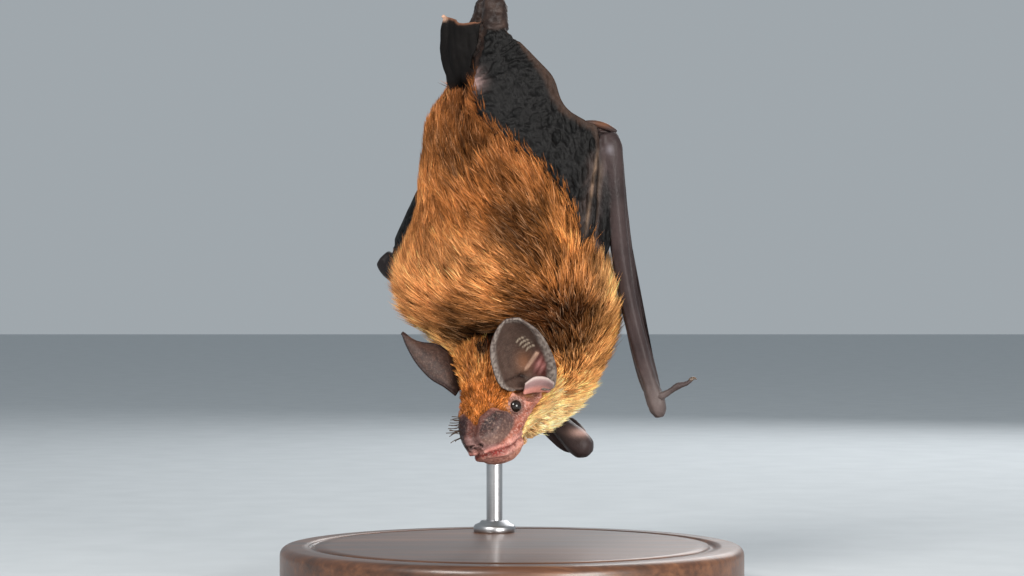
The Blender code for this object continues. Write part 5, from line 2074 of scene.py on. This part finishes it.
    def piece(self, name: str, tufts: Tufts, shape: TuftShape, finish: Finish) -> bpy.types.Object:
        """Join tufts into one mesh with its colours and its map.

        Args:
            name: of the piece.
            tufts: that it holds.
            shape: of each tuft.
            finish: its material.

        Returns:
            The piece's object.
        """
        corners, faces = shape.template()
        count = len(tufts.root)
        places = tufts.corners(corners).reshape(-1, 3) * MM
        starts = np.cumsum([0] + [len(f) for f in faces])
        flat = np.array([i for f in faces for i in f], np.int32)
        loops = (flat[None] + (np.arange(count) * len(corners))[:, None]).ravel().astype(np.int32)
        begin = (starts[:-1][None] + (np.arange(count) * len(flat))[:, None]).ravel()
        begin = begin.astype(np.int32)
        mesh = bpy.data.meshes.new(name)
        mesh.vertices.add(len(places))
        mesh.vertices.foreach_set("co", places.astype(np.float32).ravel())
        mesh.loops.add(len(loops))
        mesh.loops.foreach_set("vertex_index", loops)
        mesh.polygons.add(len(begin))
        mesh.polygons.foreach_set("loop_start", begin)
        mesh.update(calc_edges=True)
        mesh.shade_smooth()
        tint = tufts.colours(corners, 0.26, 1.35).reshape(-1, 3)
        rgba = np.concatenate([tint, np.ones((len(tint), 1))], 1).astype(np.float32)
        layer = mesh.color_attributes.new("tint", "FLOAT_COLOR", "POINT")
        layer.data.foreach_set("color", rgba.ravel())
        spot = np.stack([corners[:, 1] + 0.5, corners[:, 0]], 1) * self.patch
        spots = tufts.uv[:, None, :] + spot[flat][None]
        mesh.uv_layers.new(name="OFBake").data.foreach_set("uv", spots.astype(np.float32).ravel())
        return settled(name, mesh, [finish], "fur")

    def build(self) -> list[bpy.types.Object]:
        """Grow the whole coat."""
        rng = np.random.default_rng(SEED)
        tree = self.flesh.data.tree(Region.WING, Region.ARM, Region.EAR, Region.LEG, Region.TAIL)
        finish = CoatFinish().make()
        shape = TuftShape()
        body = self.grow(Region.BODY, self.body_tufts, rng, tree)
        self.clumped(body, rng, 0.42)
        head = self.grow(Region.HEAD, self.head_tufts, rng, tree)
        self.clumped(head, rng, 0.3)
        height = body.root[:, 2]
        aside = body.root[:, 1] < 2.0
        groups = {
            "throat": height < 45,
            "shoulders": (height >= 45) & (height < 60) & aside,
            "chest": (height >= 45) & (height < 66) & ~aside,
            "back": (height >= 60) & (height < 74) & aside,
            "belly": (height >= 66) & ~aside,
            "rump": (height >= 74) & aside,
        }
        made = []
        for name, chosen in groups.items():
            made += self.halved(f"coat_{name}", body.picked(chosen), shape, finish)
        top = self.head.local(head.root)[:, 2] > 0
        made += self.halved("coat_crown", head.picked(top), shape, finish)
        made += self.halved("coat_cheeks", head.picked(~top), shape, finish)
        for name, region, count in (
            ("coat_thighs", Region.THIGH, self.limb_tufts),
            ("coat_wing_edge", Region.WING, self.limb_tufts // 2),
        ):
            made += self.halved(name, self.grow(region, count, rng, tree), shape, finish)
        return made

    def halved(self, name: str, tufts: Tufts, shape: TuftShape,
            finish: Finish) -> list[bpy.types.Object]:
        """Make a group of tufts one piece, or two where it is too large."""
        if len(tufts.root) <= self.piece_limit:
            return [self.piece(name, tufts, shape, finish)]
        left = tufts.root[:, 0] > np.median(tufts.root[:, 0])
        return self.halved(f"{name}_left", tufts.picked(left), shape, finish) + self.halved(
            f"{name}_right", tufts.picked(~left), shape, finish
        )


# ------------------------------------------------------------------ eyes, claws and whiskers


@dataclass(frozen=True)
class Eyes:
    """The two small round eyes, sunk in their lids."""

    head: Head

    def build(self, finish: EyeFinish) -> list[bpy.types.Object]:
        """Make both eyes."""
        made = []
        dressed = finish.make()
        nose, left, crown = self.head.eye_at
        for side in Side:
            bm = bmesh.new()
            bmesh.ops.create_uvsphere(bm, u_segments=40, v_segments=28, radius=self.head.eye_radius)
            place = self.head.place(nose, (left - 0.05) * side.value, crown)
            bmesh.ops.translate(bm, vec=place, verts=bm.verts)
            name = f"eye_{side.name.lower()}"
            made.append(finished(f"{name}ball", bm, [dressed], "eye", name))
        return made


def gathered(forms: Iterable[Form]) -> Form:
    """Put several forms into one, and free them."""
    whole = bmesh.new()
    for form in forms:
        mesh = bpy.data.meshes.new("part")
        form.to_mesh(mesh)
        whole.from_mesh(mesh)
        bpy.data.meshes.remove(mesh)
        form.free()
    return whole


@dataclass(frozen=True)
class Claws:
    """The claws of the toes and of the thumbs."""

    legs: dict[Side, Leg]
    arms: dict[Side, Arm]

    @staticmethod
    def thumb_claw(arm: Arm) -> Form:
        """Shape the hooked claw at the end of a thumb."""
        tip, before = Vector(arm.thumb[-1]), Vector(arm.thumb[-2])
        way = (tip - before).normalized()
        hook = way.cross(Vector((0, 1, 0))).normalized()
        points = [tip - way * 1.3, tip - way * 0.6 + hook * 0.06, tip - way * 0.1 - hook * 0.1,
            tip + way * 0.1 - hook * 0.55]
        return Limb(points, (0.42, 0.4, 0.26, 0.07), sides=10, rows=16).form()

    def build(self, finish: ClawFinish) -> list[bpy.types.Object]:
        """Make the claws as one piece for each limb."""
        made = []
        dressed = finish.make()
        for side in Side:
            leg = self.legs[side]
            toes = gathered(leg.claw(number) for number in range(leg.toes))
            word = side.name.lower()
            made.append(finished(f"toe_claws_{word}", toes, [dressed], "wing_skin"))
            made.append(finished(f"thumb_claw_{word}", self.thumb_claw(self.arms[side]), [dressed],
                "wing_skin"))
        return made


@dataclass(frozen=True)
class Whiskers:
    """Fine stiff hairs on the muzzle pads and chin."""

    head: Head
    count: int = 26

    def build(self, finish: WhiskerFinish, tree: BVHTree) -> bpy.types.Object:
        """Make the whiskers as one piece.

        Args:
            finish: of the hairs.
            tree: of the skin that they grow from.

        Returns:
            The piece's object.
        """
        rng = np.random.default_rng(SEED + 1)
        hairs = []
        for number in range(self.count):
            side = 1 if number % 5 == 0 else -1
            n, c = rng.uniform(8.6, 13.4), rng.uniform(0.0, 3.4)
            aim = self.head.place(n, 4.6 * side, c)
            start, normal, _, _ = tree.find_nearest(aim)
            out = (normal + self.head.nose * rng.uniform(0.1, 0.8) + self.head.crown
                * rng.uniform(-0.2, 0.5)).normalized()
            length = rng.uniform(1.2, 2.6) * (0.3 if side > 0 else 1.0)
            bow = self.head.crown * rng.uniform(-0.8, 0.8)
            points = [start - out * 0.3, start + out * length * 0.5,
                start + out * length + bow * 0.4]
            hairs.append(Limb(points, (0.024, 0.018, 0.008), sides=3, rows=6).form())
        return finished("whiskers", gathered(hairs), [finish.make()], "fur")


# ------------------------------------------------------------------ the stand


@dataclass(frozen=True)
class Stand:
    """The turned base, its rod and collar, and the cut branch."""

    perch: Perch
    base_radius: float = 44.0
    base_height: float = 8.0
    edge: float = 1.6
    groove_radius: float = 38.0
    rod_radius: float = 1.6
    rod_back: float = 29.5
    collar_radius: float = 4.2
    collar_height: float = 2.4

    @property
    def foot(self) -> Vector:
        """The middle of the rod on the floor."""
        place = self.perch.at + self.perch.way * self.rod_back
        return Vector((place.x, place.y, 0))

    @staticmethod
    def turned(profile: Sequence[tuple[float, float]], at: Vector, steps: int) -> Form:
        """Turn a profile of distances and heights about an upright axis.

        Args:
            profile: from the axis at the bottom to the axis at the top.
            at: the axis's place.
            steps: the number of steps round it.

        Returns:
            The closed form.
        """
        bm = bmesh.new()
        line = [bm.verts.new((r, 0, z)) for r, z in profile]
        edges = [bm.edges.new(pair) for pair in zip(line, line[1:])]
        bmesh.ops.spin(
            bm,
            geom=line + edges,
            cent=(0, 0, 0),
            axis=(0, 0, 1),
            dvec=(0, 0, 0),
            angle=2 * math.pi,
            steps=steps,
            use_merge=True,
            use_duplicate=False,
        )
        bmesh.ops.remove_doubles(bm, verts=bm.verts, dist=1e-4)
        bmesh.ops.recalc_face_normals(bm, faces=bm.faces)
        bmesh.ops.translate(bm, vec=at, verts=bm.verts)
        return bm

    def rounded(self, radius: float, low: float, high: float,
            edge: float) -> list[tuple[float, float]]:
        """Give the profile of a disc with rounded edges."""
        points = [(0.0, low), (radius - edge * 2.5, low)]
        points += [(radius - edge + edge * math.sin(a), low + edge - edge * math.cos(a))
            for a in np.linspace(0, math.pi / 2, 6)]
        points += [(radius - edge + edge * math.cos(a), high - edge + edge * math.sin(a))
            for a in np.linspace(0, math.pi / 2, 6)]
        return points + [(radius - edge * 2.5, high)]

    def base(self) -> Form:
        """Turn the base, with a shallow groove round its top."""
        top = self.base_height
        profile = self.rounded(self.base_radius, 0.0, top, self.edge)
        for step in np.linspace(0, math.pi, 9):
            profile.append((self.groove_radius + 0.7 * math.cos(step), top - 0.55 * math.sin(step)))
        profile += [(self.groove_radius - 3.0, top), (14.0, top), (0.0, top)]
        return self.turned(profile, Vector(), 128)

    def rod(self) -> Form:
        """Turn the rod, from inside the base to inside the branch."""
        low, high = self.base_height - 3.0, self.perch.at.z + 0.8
        profile = [(0.0, low), (self.rod_radius, low), (self.rod_radius, self.base_height + 0.2)]
        profile += [(self.rod_radius, low + (high - low) * s) for s in (0.25, 0.5, 0.75)]
        profile += [(self.rod_radius, high), (0.0, high)]
        return self.turned(profile, self.foot, 36)

    def collar(self) -> Form:
        """Turn the collar round the foot of the rod."""
        low = self.base_height - 0.2
        high = self.base_height + self.collar_height
        r = self.collar_radius
        profile = [(0.0, low), (r - 0.25, low), (r, low + 0.45), (r, high - 1.3),
            (r - 0.3, high - 0.9)]
        profile += [(r - 1.2, high - 0.5), (r - 1.5, high - 0.1), (r - 1.9, high),
            (self.rod_radius, high), (0.0, high)]
        return self.turned(profile, self.foot, 48)

    def branch(self) -> Form:
        """Shape the cut branch, its bark in low ridges and its ends cut square."""
        perch = self.perch
        length = perch.front + perch.back
        girth_places = (0.0, perch.front / 2, perch.front, perch.front + perch.back / 3,
                        perch.front + 2 * perch.back / 3, length)
        rows = 170
        caps = 9
        rings: list[tuple[float, float]] = [(0.0, i / caps) for i in range(1, caps)]
        rings += [(0.0, 0.965), (0.16, 1.0)]
        rings += [(0.16 + (length - 0.32) * i / rows, 1.0) for i in range(1, rows)]
        rings += [(length - 0.16, 1.0), (length, 0.965)]
        rings += [(length, 1 - i / caps) for i in range(1, caps)]

        def surface(turn: float, along: float) -> Vector:
            """Give the branch's surface for a turn and a length."""
            distance, share = rings[round(along * (len(rings) - 1))]
            girth = float(np.interp(distance, girth_places, perch.girths))
            angle = 2 * math.pi * turn
            spot = Vector((math.cos(angle) * 3.2, math.sin(angle) * 3.2, distance))
            ridge = abs(noise.noise(Vector((spot.x / 1.1, spot.y / 1.1, distance / 6.0))))
            flake = noise.noise(spot / 1.3)
            knot = 0.5 * math.exp(-((distance - 27.0) / 2.0) ** 2 - (angle - 4.4) ** 2 / 0.16)
            sink = 0.34 * min(ridge * 3.0, 1.0) + 0.12 * flake + 0.14
            radius = max(perch.radius * girth - sink + knot * 0.4, 0.5) * share
            spoke = perch.side * math.cos(angle) + Vector((0, 0, 1)) * math.sin(angle)
            return perch.at + perch.way * (distance - perch.front) + spoke * radius

        bm = wrapped(surface, 96, len(rings) - 1)
        cut_of = bm.verts.layers.float.new("cut")
        ring_of = bm.verts.layers.float.new("ring")
        for vert in bm.verts:
            along = (vert.co - perch.at).dot(perch.way)
            away = (vert.co - perch.at - perch.way * along).length
            at_end = along < -perch.front + 0.05 or along > perch.back - 0.05
            vert[cut_of] = 1.0 if at_end and away < 2.95 else 0.0
            vert[ring_of] = away
        return bm

    def build(self) -> list[bpy.types.Object]:
        """Make and dress the stand's four pieces."""
        steel = SteelFinish().make()
        return [
            finished("base", self.base(), [WoodFinish().make()], "base_wood", "stand_base"),
            finished("rod", self.rod(), [steel], "rod_metal", "stand_rod"),
            finished("collar", self.collar(), [steel], "rod_metal", "stand_collar"),
            finished("perch", self.branch(), [BarkFinish().make()], "branch", "stand_perch"),
        ]


# ------------------------------------------------------------------ the studio


@dataclass(frozen=True)
class Lamp:
    """A soft square light: its place, its size and its power."""

    name: str
    at: Place
    size: float
    power: float
    colour: Place = (1.0, 1.0, 1.0)


@dataclass(frozen=True)
class Studio:
    """The floor, the soft lights and the camera, in metres."""

    camera_at: Place = (0.0, -0.55, 0.0568)
    lens: float = 101.8
    aim: Place = (0.0, 0.0, 0.065)
    lamps: tuple[Lamp, ...] = (
        Lamp("key", (-0.3, -0.5, 0.42), 0.24, 4.4, (1.0, 0.97, 0.93)),
        Lamp("low", (0.34, -0.52, 0.11), 0.24, 4.2, (1.0, 0.97, 0.93)),
        Lamp("back", (0.2, 0.5, 0.35), 0.4, 1.6),
    )

    def build(self) -> None:
        """Lay the floor, hang the lights and set the camera."""
        bm = bmesh.new()
        bmesh.ops.create_grid(bm, x_segments=8, y_segments=8, size=3.0)
        mesh = bpy.data.meshes.new("floor")
        bm.to_mesh(mesh)
        bm.free()
        mesh.materials.append(FloorFinish().make())
        floor = bpy.data.objects.new("floor", mesh)
        bpy.context.scene.collection.objects.link(floor)

        world = bpy.data.worlds.new("studio")
        bpy.context.scene.world = world
        world.use_nodes = True
        world.node_tree.nodes["Background"].inputs["Color"].default_value = (0.78, 0.86, 0.92, 1)
        world.node_tree.nodes["Background"].inputs["Strength"].default_value = 0.45

        for lamp in self.lamps:
            light = bpy.data.lights.new(lamp.name, "AREA")
            light.size = lamp.size
            light.energy = lamp.power
            light.color = lamp.colour
            obj = bpy.data.objects.new(lamp.name, light)
            obj.location = lamp.at
            obj.rotation_mode = "QUATERNION"
            obj.rotation_quaternion = (Vector(self.aim) - Vector(lamp.at)).to_track_quat("-Z", "Y")
            bpy.context.scene.collection.objects.link(obj)

        bpy.context.scene.view_settings.view_transform = "Standard"
        data = bpy.data.cameras.new("camera")
        data.lens = self.lens
        data.sensor_width = 36.0
        camera = bpy.data.objects.new("camera", data)
        camera.location = self.camera_at
        camera.rotation_euler = (math.pi / 2, 0, 0)
        bpy.context.scene.collection.objects.link(camera)
        bpy.context.scene.camera = camera


# ------------------------------------------------------------------ the whole model

FAR_EAR_FRONT = (
    (2.4, 6.6, 3.2), (2.2, 7.8, 5.6), (2.0, 9.6, 8.2), (1.0, 11.0, 11.7), (-0.5, 11.8, 14.8),
    (-1.9, 12.2, 17.0),
)
FAR_FLAP_BASE = ((1.4, 7.2, 3.6), (0.2, 8.0, 2.6), (-1.2, 8.4, 1.6), (-2.4, 8.2, 0.8))
FAR_FLAP_EDGE = ((0.8, 8.4, 4.8), (-0.4, 9.6, 4.6), (-1.6, 10.4, 3.4), (-2.4, 10.0, 2.0))
FAR_EAR_REAR = (
    (-4.0, 7.8, 2.6), (-5.2, 8.2, 7.0), (-4.7, 9.0, 10.6), (-3.4, 10.6, 12.8), (-2.5, 11.6, 14.9),
    (-2.3, 12.2, 17.0),
)
LEFT_FINGERS = (
    (0.97, (0.0, 3.6, 0.3)), (0.88, (0.1, 3.7, 0.3)), (0.66, (0.5, 3.7, 0.3)),
    (0.44, (1.0, 3.7, 0.3)), (0.22, (1.2, 3.7, 0.3)), (0.04, (1.1, 3.7, 0.3)),
    (-0.02, (0.2, 3.0, 1.2)), (-0.02, (-2.4, 1.6, 1.8)),
)
RIGHT_FINGERS = (
    (0.98, (-1.0, 3.2, -1.2)), (0.92, (-1.4, 3.0, -1.6)), (0.7, (-1.0, 3.3, -1.2)),
    (0.5, (-0.4, 3.5, -0.4)), (0.35, (0.3, 3.6, 0.3)), (0.2, (0.6, 3.6, 0.6)),
    (0.1, (0.8, 3.6, 0.8)), (0.02, (0.8, 3.4, 0.8)),
)
FINGER_TIPS = ((13.6, -6.4, 87.8), (15.6, -7.0, 87.6), (17.6, -7.4, 87.0), (19.6, -7.6, 86.0))
LEFT_THUMB = ((27.6, -5.4, 36.2), (29.4, -5.9, 37.2), (31.2, -6.2, 38.4), (32.8, -6.2, 38.9),
    (34.3, -6.0, 40.0))
RIGHT_THUMB = ((14.0, 20.4, 28.0), (13.4, 22.4, 29.2), (12.0, 23.6, 30.4), (10.4, 24.0, 31.0),
    (8.8, 24.0, 32.4))
LEFT_WING = Sheet(
    (
        (-5.0, -7.8, 105.6), (-6.4, -8.0, 100.6), (-8.6, -8.0, 93.8), (-6.2, -8.8, 87.4),
        (1.4, -9.6, 81.6), (7.2, -10.2, 76.4), (11.4, -11.6, 70.0), (13.4, -13.0, 62.0),
    ),
    (
        (-1.0, -7.6, 105.6), (2.0, -8.2, 102.4), (4.7, -8.6, 99.6), (7.7, -9.2, 96.2),
        (9.2, -9.6, 92.0), (10.9, -9.8, 89.8), (13.8, -9.8, 88.0), (16.2, -9.8, 86.0),
        (16.0, -10.8, 76.0), (15.2, -12.6, 64.0),
    ),
    124,
    56,
    Region.WING,
    Wrinkle.PEBBLED,
    sunk_from=0.93,
    sunk_to=0.05,
)
RIGHT_WING = Sheet(
    (
        (-6.2, 6.6, 107.0), (-9.4, 9.4, 97.0), (-11.0, 9.6, 87.0), (-14.0, 10.6, 78.0),
        (-16.0, 11.6, 70.0), (-17.4, 12.4, 63.0),
    ),
    (
        (-7.6, 7.4, 107.0), (-11.0, 13.0, 95.0), (-14.0, 18.0, 84.0), (-18.6, 21.6, 76.0),
        (-22.0, 24.0, 69.0), (-24.9, 26.0, 62.6),
    ),
    84,
    28,
    Region.WING,
    Wrinkle.PEBBLED,
    sunk_from=0.93,
    sunk_to=0.05,
)
ARM_WEB = Sheet(
    ((16.6, -8.4, 82.5), (16.2, -8.0, 76.0), (15.6, -7.6, 70.0), (15.0, -7.2, 64.0),
        (14.2, -7.0, 59.6)),
    ((19.2, -8.2, 82.5), (20.0, -8.0, 76.0), (19.8, -7.8, 70.0), (17.8, -7.4, 65.2),
        (15.0, -7.0, 59.4)),
    44,
    16,
    Region.WING,
    Wrinkle.PLEATED,
    grip=0.2,
)
TAIL_SHEET = Sheet(
    ((-7.8, -5.0, 97.0), (-9.6, -2.4, 95.0), (-11.2, -0.8, 93.6), (-11.6, 2.0, 94.2),
        (-11.0, 5.0, 96.6)),
    ((-5.4, -6.4, 107.2), (-9.4, -6.2, 106.6), (-12.4, -2.4, 108.2), (-11.2, 2.4, 106.8),
        (-8.2, 4.0, 107.6)),
    90,
    22,
    Region.TAIL,
    Wrinkle.PLEATED,
    grip=1.2,
)
TAIL = Limb(
    ((-9.4, 0.4, 92.0), (-9.8, -0.1, 98.0), (-10.3, -0.5, 103.0), (-11.3, -0.9, 106.4),
        (-13.2, -1.8, 108.4)),
    (1.4, 1.1, 0.9, 0.7, 0.3),
    sides=12,
    rows=36,
)
FLESH_NODES = (
    "trunk",
    "neck",
    "head",
    "lower_jaw",
    "tail",
    "tail_membrane",
    *(
        f"{part}_{side}"
        for part in ("ear", "tragus", "upper_arm", "forearm", "hand", "thumb", "thigh", "shank",
                "foot", "wing_membrane")
        for side in ("left", "right")
    ),
)


def main() -> None:
    """Build the bat and its stand."""
    logging.basicConfig(level=logging.INFO, format="%(message)s")
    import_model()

    trunk, head, perch = Trunk(), Head(), Perch()
    markings = Markings(head)
    arms = {
        Side.LEFT: Arm(Vector((13.4, -5.0, 53.0)), Vector((17.2, -8.0, 83.6)),
            Vector((26.8, -4.0, 34.4)),
                       LEFT_FINGERS, LEFT_THUMB, 1.95, (0.9, -0.5, -1.3, -0.4, 0.7), FINGER_TIPS),
        Side.RIGHT: Arm(Vector((-4.5, 4.5, 54.4)), Vector((-24.2, 27.0, 61.4)),
            Vector((13.8, 18.0, 25.7)),
                        RIGHT_FINGERS, RIGHT_THUMB, 2.75),
    }
    legs = {
        Side.LEFT: Leg(Vector((-6.2, -1.8, 85.0)), Vector((-6.4, -5.2, 96.6)),
            Vector((-3.4, -5.2, 112.2)), -4.6, perch,
                       shank_radii=(2.0, 2.3, 2.5, 2.5, 2.0), bow=(0.2, 1.5, 1.6, 0.9, 0.0)),
        Side.RIGHT: Leg(Vector((-8.8, 4.6, 85.0)), Vector((-9.4, 6.6, 96.5)),
            Vector((-4.9, 4.2, 112.2)), 4.6, perch),
    }
    far_ear = Ear(head, -1, FAR_EAR_FRONT, FAR_EAR_REAR, Vector((-0.35, -0.94, 0.0)),
        (0.1, 1.0, 1.2, 1.0, 0.5, 0.0),
                  plain=True, flap_base=FAR_FLAP_BASE, flap_edge=FAR_FLAP_EDGE)
    ears = [Ear(head, 1), far_ear]
    flesh = Flesh(trunk, head, ears, arms, legs, (LEFT_WING, RIGHT_WING, ARM_WEB, TAIL_SHEET), TAIL,
        markings, FLESH_NODES)
    flesh.build(SkinFinish())
    Coat(flesh, trunk, head, markings).build()
    Eyes(head).build(EyeFinish())
    Claws(legs, arms).build(ClawFinish())
    Whiskers(head).build(WhiskerFinish(), flesh.data.tree(Region.HEAD))
    Stand(perch).build()
    Studio().build()


if __name__ == "__main__":
    main()
